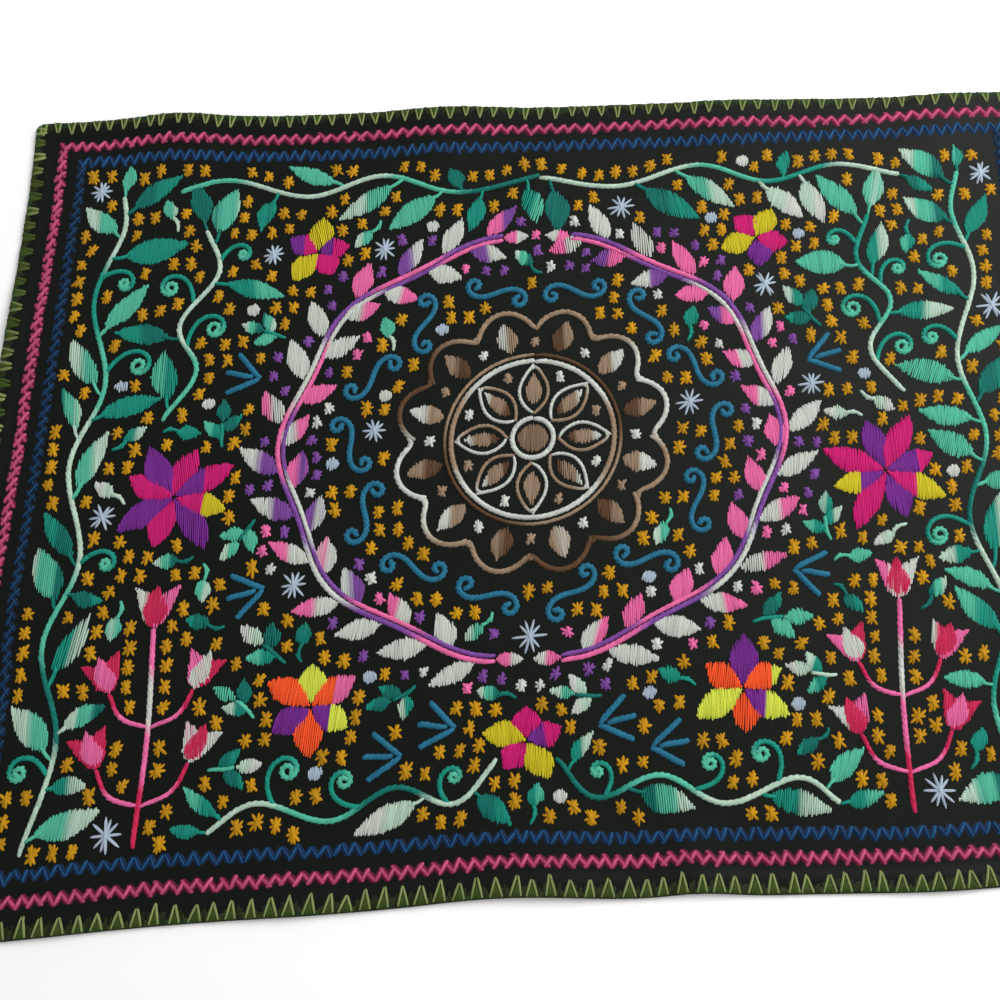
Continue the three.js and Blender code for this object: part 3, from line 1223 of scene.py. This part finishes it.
def daisy(stitches, centre, radius, turn, petals):
    """A flower of long pointed petals, each with its own dyes; a steep one takes the first of them alone."""
    rng = stitches.rng
    count = len(petals)
    width = PETAL_WIDTH * radius / count
    for index, names in enumerate(petals):
        aim = turn + index * 2 * np.pi / count + rng.normal(0, PETAL_STRAY)
        reach = radius * (1.0 if index % 2 else SHORT_PETAL) * rng.uniform(*PETAL_REACHES)
        base, tip = centre + PETAL_FOOT * way(aim), centre + reach * way(aim)
        tints = dyes(names)
        if abs(math.sin(aim)) > STEEP_PETAL:
            tints = tints[:1]
        bend = rng.uniform(-PETAL_BEND, PETAL_BEND)
        level = PETAL_LEVEL * (index % 2)
        leaf(stitches, base, tip, width, tints, bend, PETAL_FULLNESS, level=level, blend=PETAL_BLEND)


def border_lines(insets):
    """Start, end and inward way of four rows; insets gives each row's distance at its start and end."""
    half_u, half_v = half_sizes()
    low_left = np.array([insets["left"][0] - half_u, insets["bottom"][0] - half_v])
    low_right = np.array([half_u - insets["right"][0], insets["bottom"][1] - half_v])
    high_left = np.array([insets["left"][1] - half_u, half_v - insets["top"][0]])
    high_right = np.array([half_u - insets["right"][1], half_v - insets["top"][1]])
    return {
        "top": (high_left, high_right, np.array([0, -1])),
        "bottom": (low_left, low_right, np.array([0, 1])),
        "left": (low_left, high_left, np.array([1, 0])),
        "right": (low_right, high_right, np.array([-1, 0])),
    }


def stepped(share, pitches):
    """Shares of a row's length at shares of its stitch count, where the pitch changes evenly."""
    first, last = pitches
    return share * (2 * first + (last - first) * share) / (first + last)


def zigzag(stitches, line, row, layers):
    """A zigzag row along one edge, whose layers lie on one path."""
    start, end, inward = line
    along = (end - start) / np.hypot(*(end - start))
    start, end = start - row.reach * along, end + row.reach * along
    rng = stitches.rng
    count = round(2 * np.hypot(*(end - start)) / sum(row.pitches))
    drift = np.cumsum(rng.normal(0, ROW_DRIFT, count + 1))
    drift = drift - np.linspace(drift[0], drift[-1], count + 1)
    sway = start + drift[:-1, None] * inward
    slants = []
    for half, side in enumerate(SIDES):
        turn = np.arange(count) + 0.5 * half
        ends = []
        past = row.overlaps[half]
        for place, height in ((turn - past, -side), (turn + 0.5 + past, side)):
            share = stepped(np.clip(place / count, 0, 1), row.pitches)[:, None]
            wander = rng.normal(0, ROW_WANDER, (count, 2))
            ends.append(sway + share * (end - start) + 0.5 * height * row.height * inward + wander)
        climbs = np.prod((ends[1] - ends[0]).mean(axis=0)) > 0
        slants.append((*ends, 0 if climbs else 1, row.tone * rng.uniform(*ROW_SHADES, (count, 1))))
    # On the upper layer the stitches that climb to the right take a painted light and the others a painted
    # shade.
    # The under layer is partly painted shade round each strand.
    for layer in layers:
        tints = dyes(layer.dyes)
        for first, last, slant, shade in slants:
            stitches.lay(first, last, layer.width, layer.rises[slant], tints[slant] * shade)


def border_row(name, seed, rows, layers):
    """A zigzag row round all four edges, as one piece."""
    stitches = Stitches(seed)
    for edge, line in border_lines({edge: row.insets for edge, row in rows.items()}).items():
        zigzag(stitches, line, rows[edge], layers)
    stitches.add_piece(name, border_thread())


class NodeMaker:
    """Adds nodes to a tree and links what is passed to their inputs."""

    def __init__(self, tree):
        self.tree = tree
        self.count = 0

    def add(self, kind, **values):
        """A node; values that name a property set it, the others set or link inputs."""
        made = self.tree.nodes.new(kind)
        across, down = NODE_STEPS
        made.location = (across * self.count, -down * (self.count % NODE_ROWS))
        self.count += 1
        for name, value in values.items():
            if hasattr(made, name):
                setattr(made, name, value)
            else:
                self.join(made.inputs[name], value)
        return made

    def join(self, socket, value):
        """Links an output to a socket, or sets the socket's own value."""
        if isinstance(value, NodeSocket):
            self.tree.links.new(value, socket)
        else:
            socket.default_value = value

    def math(self, operation, *values):
        """The output of a Math node."""
        made = self.add("ShaderNodeMath", operation=operation)
        for socket, value in zip(made.inputs, values):
            self.join(socket, value)
        return made.outputs[0]

    def uneven(self, noise, amount):
        """A noise texture's value, centred on nought and scaled."""
        return self.math("MULTIPLY", self.math("SUBTRACT", noise.outputs["Fac"], 0.5), amount)

    def mix(self, factor, dark, light):
        """The output of a colour mix between two linear colours."""
        made = self.add("ShaderNodeMix", data_type="RGBA", Factor=factor)
        made.inputs[MIX_DARK].default_value = (*dark, 1.0)
        made.inputs[MIX_LIGHT].default_value = (*light, 1.0)
        return made.outputs[MIX_RESULT]

    def bump(self, shader, height, strength, distance):
        """Small relief on a shader's normal, with its distance in millimetres."""
        made = self.add("ShaderNodeBump", Strength=strength, Distance=distance * MM, Height=height)
        self.join(shader.inputs["Normal"], made.outputs["Normal"])

    def group(self, name, build, **values):
        """A placed node group, built the first time it is asked for."""
        made = self.add("ShaderNodeGroup")
        made.node_tree = bpy.data.node_groups.get(name) or build(name)
        for socket, value in values.items():
            self.join(made.inputs[socket.replace("_", " ")], value)
        return made


def new_group(name, inputs):
    """A node group with number inputs and the outputs Tone and Height, its maker and its inputs."""
    tree = bpy.data.node_groups.new(name, "ShaderNodeTree")
    for socket, default in inputs.items():
        made = tree.interface.new_socket(socket, in_out="INPUT", socket_type="NodeSocketFloat")
        made.default_value = default
    for socket in ("Tone", "Height"):
        tree.interface.new_socket(socket, in_out="OUTPUT", socket_type="NodeSocketFloat")
    make = NodeMaker(tree)
    return tree, make, make.add("NodeGroupInput").outputs


def thread_twist_group(name):
    """Shared look of twisted thread: fine slanting plies with a little fuzz, with painted shade in the
    grooves between them and painted light on their crests.
    """
    tree, make, given = new_group(name, {"Ply spacing": 0.8, "Ply slant": 0.6, "Fuzz": 0.3})
    places = make.add("ShaderNodeUVMap", uv_map="Strand")
    parts = make.add("ShaderNodeSeparateXYZ", Vector=places.outputs["UV"])
    turns = make.math("DIVIDE", parts.outputs["X"], given["Ply spacing"])
    slant = make.math("MULTIPLY", parts.outputs["Y"], given["Ply slant"])
    phase = make.math("MULTIPLY", make.math("ADD", turns, slant), 2 * math.pi)
    wave = make.math("MULTIPLY_ADD", make.math("SINE", phase), 0.5, 0.5)
    solid = make.add("ShaderNodeTexCoord")
    noise = make.add("ShaderNodeTexNoise", Vector=solid.outputs["Object"], Scale=900.0, Detail=3.0)
    height = make.math("ADD", wave, make.uneven(noise, given["Fuzz"]))
    # Painted shade and light: the thread is darker in the grooves between its plies and lighter on their
    # crests.
    tone = make.math("MULTIPLY_ADD", height, PLY_CONTRAST, PLY_SHADE)
    make.add("NodeGroupOutput", Tone=tone, Height=height)
    return tree


def plain_weave_group(name):
    """Shared look of plain weave: warp and weft that pass over and under in turn, with painted light on the
    raised threads, painted shade in the gaps between them and random slub.
    """
    tree, make, given = new_group(name, {"Thread pitch": 0.9, "Slub": 0.4})
    places = make.add("ShaderNodeUVMap", uv_map="Weave")
    parts = make.add("ShaderNodeSeparateXYZ", Vector=places.outputs["UV"])
    waves = []
    for axis in ("X", "Y"):
        turns = make.math("DIVIDE", parts.outputs[axis], given["Thread pitch"])
        waves.append(make.math("SINE", make.math("MULTIPLY", turns, math.pi)))
    over = make.math("MULTIPLY_ADD", make.math("MULTIPLY", *waves), 0.5, 0.5)
    under = make.math("SUBTRACT", 1.0, over)
    warp = make.math("MULTIPLY", make.math("ABSOLUTE", waves[0]), over)
    weft = make.math("MULTIPLY", make.math("ABSOLUTE", waves[1]), under)
    noise = make.add("ShaderNodeTexNoise", Vector=places.outputs["UV"], Scale=0.16, Detail=5.0)
    height = make.math("MAXIMUM", warp, weft)
    # Painted light on the raised threads and painted shade in the gaps between them, with random slub.
    tone = make.math("ADD", height, make.uneven(noise, given["Slub"]))
    make.add("NodeGroupOutput", Tone=tone, Height=height)
    return tree


def new_material(name, finish):
    """A material with its shader's plain values set, the shader, and a maker for its other nodes."""
    material = bpy.data.materials.new(name)
    material.use_nodes = True
    shader = material.node_tree.nodes["Principled BSDF"]
    for socket, value in finish.items():
        shader.inputs[socket].default_value = value
    return material, shader, NodeMaker(material.node_tree)


def thread_material(name, ply_spacing, fuzz, roughness, gloss, sheen):
    """Dyed thread in the colours of its lays, darkened by painted shade between its plies and lightened by
    painted light on their crests.
    """
    material = bpy.data.materials.get(name)
    if material:
        return material
    finish = {
        "Roughness": roughness,
        "Specular IOR Level": gloss,
        "Sheen Weight": sheen,
        "Sheen Roughness": 0.4,
    }
    material, shader, make = new_material(name, finish)
    twist = make.group("Thread twist", thread_twist_group, Ply_spacing=ply_spacing, Fuzz=fuzz)
    dyed = make.add("ShaderNodeVertexColor", layer_name="Thread")
    # The dye is scaled by the painted shade and light of the plies.
    ply_shaded_dye = make.add("ShaderNodeVectorMath", operation="SCALE", Scale=twist.outputs["Tone"])
    make.join(ply_shaded_dye.inputs[0], dyed.outputs["Color"])
    make.join(shader.inputs["Base Color"], ply_shaded_dye.outputs[0])
    make.bump(shader, twist.outputs["Height"], strength=0.5, distance=0.15)
    return material


def field_thread():
    """Soft thread of the flower pattern."""
    return thread_material("Field thread", ply_spacing=0.9, fuzz=0.35, roughness=0.62, gloss=0.16, sheen=0.03)


def border_thread():
    """Harder thread of the border rows."""
    return thread_material("Border thread", ply_spacing=0.7, fuzz=0.2, roughness=0.6, gloss=0.14, sheen=0.02)


def cotton_material():
    """Black cotton in plain weave, with painted light and shade on its threads."""
    finish = {"Roughness": 0.55, "Specular IOR Level": 0.1, "Sheen Weight": 0.02, "Sheen Roughness": 0.5}
    material, shader, make = new_material("Black cotton", finish)
    weave = make.group("Plain weave", plain_weave_group, Thread_pitch=WEAVE_PITCH)
    # The cotton runs from dark to light with the weave's painted shade and light and its slub.
    colour = make.mix(weave.outputs["Tone"], COTTON_DARK, COTTON_LIGHT)
    make.join(shader.inputs["Base Color"], colour)
    make.bump(shader, weave.outputs["Height"], strength=0.3, distance=0.2)
    return material


def grid_lines(half, step):
    """Lines across the sheet: close ones over the hem and even ones between the hems."""
    hem = cloth_mm("hem_width")
    insets = np.array([*HEM_LINES, hem, hem + HEM_STEP])
    inner = half - insets[-1]
    even = np.linspace(-inner, inner, math.ceil(2 * inner / step) + 1)
    return np.concatenate([insets[:-1] - half, even, (half - insets[:-1])[::-1]])


class CLOTH_OT_cotton(Operator):
    """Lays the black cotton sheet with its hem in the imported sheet's place"""

    bl_idname = "cloth.cotton"
    bl_label = "Cotton sheet"

    def execute(self, context):
        GROUND.clear()
        columns, rows = (grid_lines(half, cloth_mm("grid_step")) for half in half_sizes())
        u, v = (x.ravel() for x in np.meshgrid(columns, rows))
        drawn_in = np.where(edge_distance(u, v) > 0, 0.0, RIM_ROUNDING)
        under = world_points(u, v, lift(u, v) + drawn_in)
        face = world_points(u, v, face_height(u, v) - drawn_in)

        wide, tall, layer = len(columns), len(rows), len(under)
        corner = (np.arange(tall - 1)[:, None] * wide + np.arange(wide - 1)).ravel()
        up = np.stack([corner, corner + 1, corner + wide + 1, corner + wide], axis=1)
        rim = np.concatenate([
            np.arange(wide - 1),
            wide - 1 + np.arange(tall - 1) * wide,
            tall * wide - 1 - np.arange(wide - 1),
            (tall - 1 - np.arange(tall - 1)) * wide,
        ])
        ahead = np.roll(rim, -1)
        wall = np.stack([rim, ahead, ahead + layer, rim + layer], axis=1)
        quads = np.concatenate([up + layer, up[:, ::-1], wall])
        mesh = quad_mesh("cotton_sheet", np.concatenate([under, face]), quads)
        flat = np.stack([u, v], axis=1)
        add_map(mesh, "Weave", np.concatenate([flat, flat]), quads)

        piece = add_piece("cotton_sheet", mesh, cotton_material())
        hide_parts("cloth")
        return {"FINISHED"}


class CLOTH_OT_overcast_edge(Operator):
    """Stitches the green overcast edge, whose pointed stitches wrap over the rim"""

    bl_idname = "cloth.overcast_edge"
    bl_label = "Overcast edge"

    def execute(self, context):
        stitches = Stitches(11)
        rng = stitches.rng
        for edge, (start, end, inward) in border_lines(dict.fromkeys(EDGE_ROWS, (0, 0))).items():
            row = EDGE_ROWS[edge]
            total = np.hypot(*(end - start))
            along = (end - start) / total
            count = round(2 * total / sum(row.pitches))
            places = stepped((np.arange(count) + 0.5) / count, row.pitches) * total
            places = (places + rng.normal(0, FOOT_STRAY, count))[:, None]
            depth = row.depth * rng.uniform(*POINT_DEPTHS, (count, 1))
            apex = start + (places + rng.normal(0, POINT_STRAY, (count, 1))) * along + depth * inward
            spread = row.half_foot * rng.uniform(*FOOT_SPREADS, (count, 1))
            foot = start + places * along - RIM_OVERHANG * inward
            run = rng.uniform(row.dye_from, row.dye_from + POINT_DYE_RUN, count)
            tint = run_of_dye(dyes("olive moss"), run)

            wraps = np.arange(0.5 * WRAP_PITCH, total, WRAP_PITCH)[:, None]
            rim = start + wraps * along - RIM_OVERHANG * inward
            reach = rng.uniform(*WRAP_REACHES, (len(wraps), 1))
            needle = rim + reach * row.depth * inward
            rise = WRAP_RISE - WRAP_RISE * reach[:, 0]
            shade = dye("pine") * (WRAP_TONE - reach)
            stitches.lay(needle, rim, WRAP_WIDTH, rise, shade, drop=RIM_DROP)
            for leg in INFILL_LEGS:
                needle = apex - (INFILL_DIP + INFILL_LEG_DIP * abs(leg)) * depth * inward
                hole = foot + leg * spread * along
                stitches.lay(needle, hole, INFILL_WIDTH, WRAP_RISE, dye("moss"), drop=RIM_DROP)
            for leg in SIDES:
                needle = apex + leg * row.half_tip * along + rng.normal(0, LEG_STRAY, (count, 2))
                hole = foot + leg * spread * along
                stitches.lay(needle, hole, row.strand, POINT_RISE, tint, drop=RIM_DROP)
        stitches.add_piece("overcast_edge", border_thread())
        return {"FINISHED"}


class CLOTH_OT_pink_row(Operator):
    """Stitches the pink herringbone row of the border"""

    bl_idname = "cloth.pink_row"
    bl_label = "Pink border row"

    def execute(self, context):
        border_row("pink_border_row", 12, PINK_ROWS, PINK_LAYERS)
        return {"FINISHED"}


class CLOTH_OT_blue_row(Operator):
    """Stitches the blue zigzag row of the border, a bright strand over a dark one"""

    bl_idname = "cloth.blue_row"
    bl_label = "Blue border row"

    def execute(self, context):
        border_row("blue_border_row", 13, BLUE_ROWS, BLUE_LAYERS)
        return {"FINISHED"}


class CLOTH_OT_rosette(Operator):
    """Stitches the large rosette in the middle, in brown and ivory thread"""

    bl_idname = "cloth.rosette"
    bl_label = "Middle rosette"

    def execute(self, context):
        stitches = Stitches(21)
        rng = stitches.rng
        middle = ROSETTE_MIDDLE
        angle = np.linspace(0, 2 * np.pi, RING_POINTS)
        circle = np.stack([np.sin(angle), np.cos(angle)], axis=1)

        def ring(radius, names, **kind):
            """A line of stem stitch round the middle."""
            line = middle + circle * np.reshape(radius, (-1, 1))
            stem(stitches, even_steps(line), dyes(names), **kind)

        waves = np.abs(np.sin(ROSETTE_PETALS * angle / 2)) ** SCALLOP_ROUNDING
        scallops = SCALLOP_RADIUS + SCALLOP_RISE * waves
        ring(scallops, "taupe ivory taupe brown taupe ivory brown taupe")
        ring(RING_RADIUS, "ivory taupe ivory ivory taupe ivory")
        ring(EYE_RING_RADIUS, "ivory", advance=EYE_RING_ADVANCE)
        eye = disc_outline(middle, EYE_RADIUS)
        satin(stitches, eye, middle - EYE_DYE_RUN, middle + EYE_DYE_RUN, dyes("taupe brown"))
        ring(FINE_RING_RADIUS, "brown taupe brown taupe", strand=OUTLINE_STRAND)
        for index in range(ROSETTE_PETALS):
            aim = np.pi / 2 + (index + 0.5) * 2 * np.pi / ROSETTE_PETALS
            names = "brown taupe" if index % 2 else "taupe ivory"
            base, tip = (middle + radius * way(aim) for radius in ROSETTE_PETAL_SPAN)
            leaf(stitches, base, tip, ROSETTE_PETAL_WIDTH, dyes(names))
            joint = middle + PETAL_STAR_RADIUS * way(aim + np.pi / ROSETTE_PETALS)
            tint = dye("taupe" if index % 2 else "ivory")
            star(stitches, joint, ROSETTE_STAR, tint, rng.normal(0, ROSETTE_STAR_TURN))
        for index in range(ROSETTE_LEAVES):
            aim = np.pi / 2 + index * 2 * np.pi / ROSETTE_LEAVES
            base, tip = (middle + radius * way(aim) for radius in ROSETTE_LEAF_SPAN)
            shape = leaf_outline(base, tip, ROSETTE_LEAF_WIDTH)
            line = even_steps(np.vstack([shape, shape[:1]]))
            stem(stitches, line, dyes("ivory taupe"), OUTLINE_STRAND, ROSETTE_LEAF_ADVANCE)
            inset = FILLING_INSET * way(aim)
            inner = leaf_outline(base + inset, tip - inset, FILLING_WIDTH)
            satin(stitches, inner, base, tip, dyes("brown taupe ivory"))
            between = middle + LEAF_STAR_RADIUS * way(aim + np.pi / ROSETTE_LEAVES)
            tint = dye("ivory" if index % 2 else "taupe")
            star(stitches, between, ROSETTE_STAR, tint, rng.normal(0, ROSETTE_STAR_TURN))
        inside = np.arange(-ROSETTE_SQUARE, ROSETTE_SQUARE + 1)
        radius, half_width = ROSETTE_BAND
        GROUND.take(disc_outline(middle, radius), half_width)
        GROUND.take(middle + np.stack(np.meshgrid(inside, inside), axis=-1), 1)
        stitches.add_piece("middle_rosette", field_thread())
        return {"FINISHED"}


class CLOTH_OT_scrolls(Operator):
    """Stitches the blue scrolls round the rosette and the blue fans outside the wreath"""

    bl_idname = "cloth.scrolls"
    bl_label = "Blue scrolls and fans"

    def execute(self, context):
        stitches = Stitches(22)
        tints = dyes("scroll")
        half = curl_path((0, 0), 0.0, SCROLL_HALF_LENGTH, 0.0, SCROLL_TURN, power=1.0)
        shape = np.vstack([-half[::-1], half[1:]])
        for index in range(SCROLL_COUNT):
            aim = (index + 0.5) * 2 * np.pi / SCROLL_COUNT
            spot = ROSETTE_MIDDLE + SCROLL_RADII * (np.sin(aim), np.cos(aim))
            lie = -aim + stitches.rng.normal(0, SCROLL_STRAY)
            line = spot + turned(shape * (1, SIDES[index % 2]), lie)
            stem(stitches, line, tints, strand=SCROLL_STRAND, advance=FINE_ADVANCE)
        for side in SIDES:
            for foot, aim in FANS:
                for spread in (-FAN_SPREAD, 0, FAN_SPREAD):
                    outward = way(math.radians(aim + spread))
                    nearest = 0.0 if spread else FAN_START
                    line = mirrored([foot + nearest * outward, foot + FAN_REACH * outward], side)
                    stem(stitches, even_steps(line), tints, SCROLL_STRAND, FAN_ADVANCE)
        stitches.add_piece("blue_scrolls", field_thread())
        return {"FINISHED"}


class CLOTH_OT_wreath(Operator):
    """Stitches the violet and pink wreath with its pointed leaves"""

    bl_idname = "cloth.wreath"
    bl_label = "Wreath"

    def execute(self, context):
        stitches = Stitches(23)
        rng = stitches.rng
        angle = np.radians(np.linspace(*WREATH_SPAN, WREATH_POINTS))
        radii = WREATH_RADII * (1 + WREATH_WAVE * np.sin(WREATH_WAVES * angle))[:, None]
        line = ROSETTE_MIDDLE + radii * np.stack([np.sin(angle), -np.cos(angle)], axis=1)
        tints = dyes(WREATH_STEM_DYES)
        for side in SIDES:
            path = even_steps(mirrored(line, side))
            total = path_run(path)[-1]
            stem(stitches, path, tints, WREATH_STRANDS[0])
            _, lie = at_run(path, path_run(path))
            inner = path + WREATH_STEM_GAP * side * np.stack([-np.sin(lie), np.cos(lie)], axis=1)
            stem(stitches, even_steps(inner), np.roll(tints, 1, axis=0), WREATH_STRANDS[1])
            hand = 1
            for place in np.arange(WREATH_BARE_START, total - WREATH_BARE_END, WREATH_LEAF_SPACING):
                place = place + rng.uniform(-WREATH_LEAF_STRAY, WREATH_LEAF_STRAY)
                foot, heading = at_run(path, place)
                aim = heading + hand * rng.uniform(*WREATH_LEAF_TURNS)
                length = rng.uniform(*WREATH_LEAF_LENGTHS)
                gap = OUTER_LEAF_GAP
                if hand == side:
                    length *= INNER_LEAF_SHARE
                    gap = INNER_LEAF_GAP
                base, tip = foot + gap * way(aim), foot + (gap + length) * way(aim)
                width = rng.uniform(*WREATH_LEAF_WIDTHS)
                names = WREATH_LEAF_DYES[rng.integers(len(WREATH_LEAF_DYES))]
                leaf(stitches, base, tip, width, dyes(names))
                hand = -hand
            for place, onward in ((0.0, -1), (total, 1)):
                foot, heading = at_run(path, place)
                foot = foot + 0.5 * WREATH_STEM_GAP * side * way(heading + np.pi / 2)
                tip = foot + END_LEAF_LENGTH * onward * way(heading)
                leaf(stitches, foot, tip, END_LEAF_WIDTH, dyes("pink ivory"))
        stitches.add_piece("wreath", field_thread())
        return {"FINISHED"}


class CLOTH_OT_tulips(Operator):
    """Stitches the red and pink tulip plants in the lower corners"""

    bl_idname = "cloth.tulips"
    bl_label = "Tulip plants"

    def execute(self, context):
        stitches = Stitches(24)
        rng = stitches.rng
        for side in SIDES:
            trunk = smooth_path(mirrored(TULIP_TRUNK, side))
            stem(stitches, trunk, dyes("crimson pink ivory pink"))
            lobe_dyes = TULIP_DYES[rng.integers(len(TULIP_DYES))]
            tulip(stitches, trunk[-1], math.pi / 2, TOP_BLOSSOM, lobe_dyes)
            for place, reach in TULIP_BRANCHES:
                foot = points_at(trunk, place)
                for hand in SIDES:
                    bend, tip = foot + mirrored(reach * np.array(BRANCH_POINTS), hand)
                    branch = smooth_path([foot, bend, tip])
                    stem(stitches, branch, dyes("pink crimson"), BRANCH_STRAND)
                    _, heading = at_run(branch, path_run(branch)[-1])
                    lobe_dyes = TULIP_DYES[rng.integers(len(TULIP_DYES))]
                    tulip(stitches, tip, heading + hand * BLOSSOM_NOD, SIDE_BLOSSOM, lobe_dyes)
        stitches.add_piece("tulip_plants", field_thread())
        return {"FINISHED"}


class CLOTH_OT_flowers(Operator):
    """Stitches the large and small many-coloured flowers"""

    bl_idname = "cloth.flowers"
    bl_label = "Flowers"

    def execute(self, context):
        stitches = Stitches(25)
        for side in SIDES:
            for place, radius, turn, petals in FLOWERS:
                daisy(stitches, mirrored(place, side), radius, turn * side, petals[::side])
        daisy(stitches, *MIDDLE_FLOWER)
        stitches.add_piece("flowers", field_thread())
        return {"FINISHED"}


class CLOTH_OT_vines(Operator):
    """Stitches the green vines, their curls and satin leaves, and sprigs where there is room for them"""

    bl_idname = "cloth.vines"
    bl_label = "Green vines"

    def execute(self, context):
        stems, leaves = Stitches(26), Stitches(27)
        rng = leaves.rng
        for points, hand, curls in VINES:
            for side in SIDES:
                line = mirrored(points, side) + rng.normal(0, VINE_WANDER, (len(points), 2))
                vine(stems, leaves, line, hand * side, [(share, side * turn) for share, turn in curls])
        for reach in SPRIG_REACHES:
            for spot in free_spots(rng, MOST_SPRIGS, reach, 2 * reach):
                sprig(stems, leaves, spot, rng.uniform(0, 2 * np.pi), reach)
        for spot in free_spots(rng, MOST_SPRIGS, LONE_LEAF_CLEARANCE, 2 * LONE_LEAF_CLEARANCE):
            lone_leaf(stems, leaves, spot, rng.uniform(0, 2 * np.pi), LONE_LEAF_REACH)
        stems.add_piece("vine_stems", field_thread())
        leaves.add_piece("vine_leaves", field_thread())
        return {"FINISHED"}


class CLOTH_OT_pale_stars(Operator):
    """Stitches the loose pale stars and the small satin dots"""

    bl_idname = "cloth.pale_stars"
    bl_label = "Pale stars and dots"

    def execute(self, context):
        stitches = Stitches(28)
        rng = stitches.rng
        for spot in free_spots(rng, *PALE_STARS):
            ray_star(stitches, spot, rng.uniform(*PALE_STAR_RADII), dye("haze"))
        for spot in free_spots(rng, *DOTS):
            tint = dyes("haze" if rng.random() < HAZE_DOT_SHARE else "ivory")
            up = np.array([0, DOT_RADIUS])
            satin(stitches, disc_outline(spot, DOT_RADIUS), spot - up, spot + up, tint)
        stitches.add_piece("pale_stars_and_dots", field_thread())
        return {"FINISHED"}


class CLOTH_OT_star_filling(Operator):
    """Fills what is left of the field with amber stars"""

    bl_idname = "cloth.star_filling"
    bl_label = "Star filling"

    def execute(self, context):
        stitches = Stitches(29)
        rng = stitches.rng
        wreath_tints = dyes(WREATH_STAR_DYES)
        size = thread_mm("star_size")
        for spot in free_spots(rng, MOST_STARS, STAR_CLEARANCE * size, thread_mm("star_gap"), STAR_STRAY):
            tint, scale = dye("amber"), rng.uniform(*STAR_SCALES)
            if abs(np.hypot(*((spot - ROSETTE_MIDDLE) / WREATH_RADII)) - 1.0) < WREATH_BAND:
                tint = wreath_tints[rng.integers(len(wreath_tints))]
                scale = rng.uniform(*WREATH_STAR_SCALES)
            tint = tint * rng.uniform(*STAR_SHADES)
            star(stitches, spot, size * scale, tint, rng.normal(0, STAR_TURN))
        stitches.add_piece("star_filling", field_thread())
        return {"FINISHED"}


def add_floor(scene, shown):
    """The pale floor just under the cloth, in a colour given as display values."""
    low, high = -FLOOR_REACH, FLOOR_REACH
    mesh = bpy.data.meshes.new("floor")
    corners = [(x, y, -FLOOR_DROP) for x, y in ((low, low), (high, low), (high, high), (low, high))]
    mesh.from_pydata(corners, [], [(0, 1, 2, 3)])
    material, shader, make = new_material("Pale floor", {"Roughness": 0.9, "Specular IOR Level": 0.1})
    noise = make.add("ShaderNodeTexNoise", Scale=60.0, Detail=4.0)
    colour = np.array(shown) ** 2.2
    make.join(shader.inputs["Base Color"], make.mix(noise.outputs["Fac"], colour * 0.99, colour))
    mesh.materials.append(material)
    floor = bpy.data.objects.new("floor", mesh)
    scene.collection.objects.link(floor)


def add_aimed(scene, name, data, place, aim):
    """A lamp or camera at a place, turned to face its aim."""
    made = bpy.data.objects.new(name, data)
    made.location = place
    made.rotation_euler = (aim - made.location).to_track_quat("-Z", "Y").to_euler()
    scene.collection.objects.link(made)
    return made


class CLOTH_OT_stage(Operator):
    """Sets the pale floor, the soft light and the camera"""

    bl_idname = "cloth.stage"
    bl_label = "Studio stage"

    def execute(self, context):
        scene = context.scene
        look = scene.stage_look
        add_floor(scene, look.floor)

        world = bpy.data.worlds.new("Studio")
        world.use_nodes = True
        sky = world.node_tree.nodes["Background"]
        sky.inputs["Color"].default_value = (1.0, 1.0, 1.0, 1.0)
        sky.inputs["Strength"].default_value = look.surround
        scene.world = world

        lamp = bpy.data.lights.new("Large lamp", "AREA")
        lamp.shape = "DISK"
        lamp.size = LAMP_SIZE
        lamp.energy = look.lamp_power
        add_aimed(scene, "Large lamp", lamp, LAMP_PLACE, Vector((0.0, 0.0, 0.0)))

        lens = bpy.data.cameras.new("Camera")
        lens.sensor_width = SENSOR_WIDTH
        lens.lens = FOCAL_LENGTH
        lens.clip_start = NEAREST_VIEW
        middle = Vector((*outline_middle(), 0.0)) * MM
        place, aim = (Vector(spot) * MM - middle for spot in (CAMERA_PLACE, CAMERA_AIM))
        scene.camera = add_aimed(scene, "Camera", lens, place, aim)
        scene.view_settings.view_transform = "Standard"
        return {"FINISHED"}


OPERATORS = (
    CLOTH_OT_stage,
    CLOTH_OT_cotton,
    CLOTH_OT_overcast_edge,
    CLOTH_OT_pink_row,
    CLOTH_OT_blue_row,
    CLOTH_OT_rosette,
    CLOTH_OT_scrolls,
    CLOTH_OT_wreath,
    CLOTH_OT_tulips,
    CLOTH_OT_flowers,
    CLOTH_OT_vines,
    CLOTH_OT_pale_stars,
    CLOTH_OT_star_filling,
)

SETTINGS = {
    "cloth_sizes": ClothSizes,
    "thread_sizes": ThreadSizes,
    "thread_dyes": ThreadDyes,
    "stage_look": StageLook,
}


class CLOTH_PT_panel(Panel):
    """Lists the steps that make the cloth, and its settings"""

    bl_idname = "CLOTH_PT_panel"
    bl_label = "Embroidered cloth"
    bl_space_type = "VIEW_3D"
    bl_region_type = "UI"
    bl_category = "Cloth"

    def draw(self, context):
        for operator in OPERATORS:
            self.layout.operator(operator.bl_idname)
        for name in SETTINGS:
            box = self.layout.box()
            group = getattr(context.scene, name)
            for key in group.bl_rna.properties.keys():
                if key not in ("rna_type", "name"):
                    box.prop(group, key)


CLASSES = (*SETTINGS.values(), *OPERATORS, CLOTH_PT_panel)


def register():
    """Registers the settings, the operators and the panel."""
    for made in CLASSES:
        bpy.utils.register_class(made)
    for name, group in SETTINGS.items():
        setattr(bpy.types.Scene, name, PointerProperty(type=group))


def unregister():
    """Takes everything out again."""
    for name in SETTINGS:
        delattr(bpy.types.Scene, name)
    for made in reversed(CLASSES):
        bpy.utils.unregister_class(made)


def main():
    register()
    for operator in OPERATORS:
        area, name = operator.bl_idname.split(".")
        getattr(getattr(bpy.ops, area), name)()


if __name__ == "__main__":
    main()
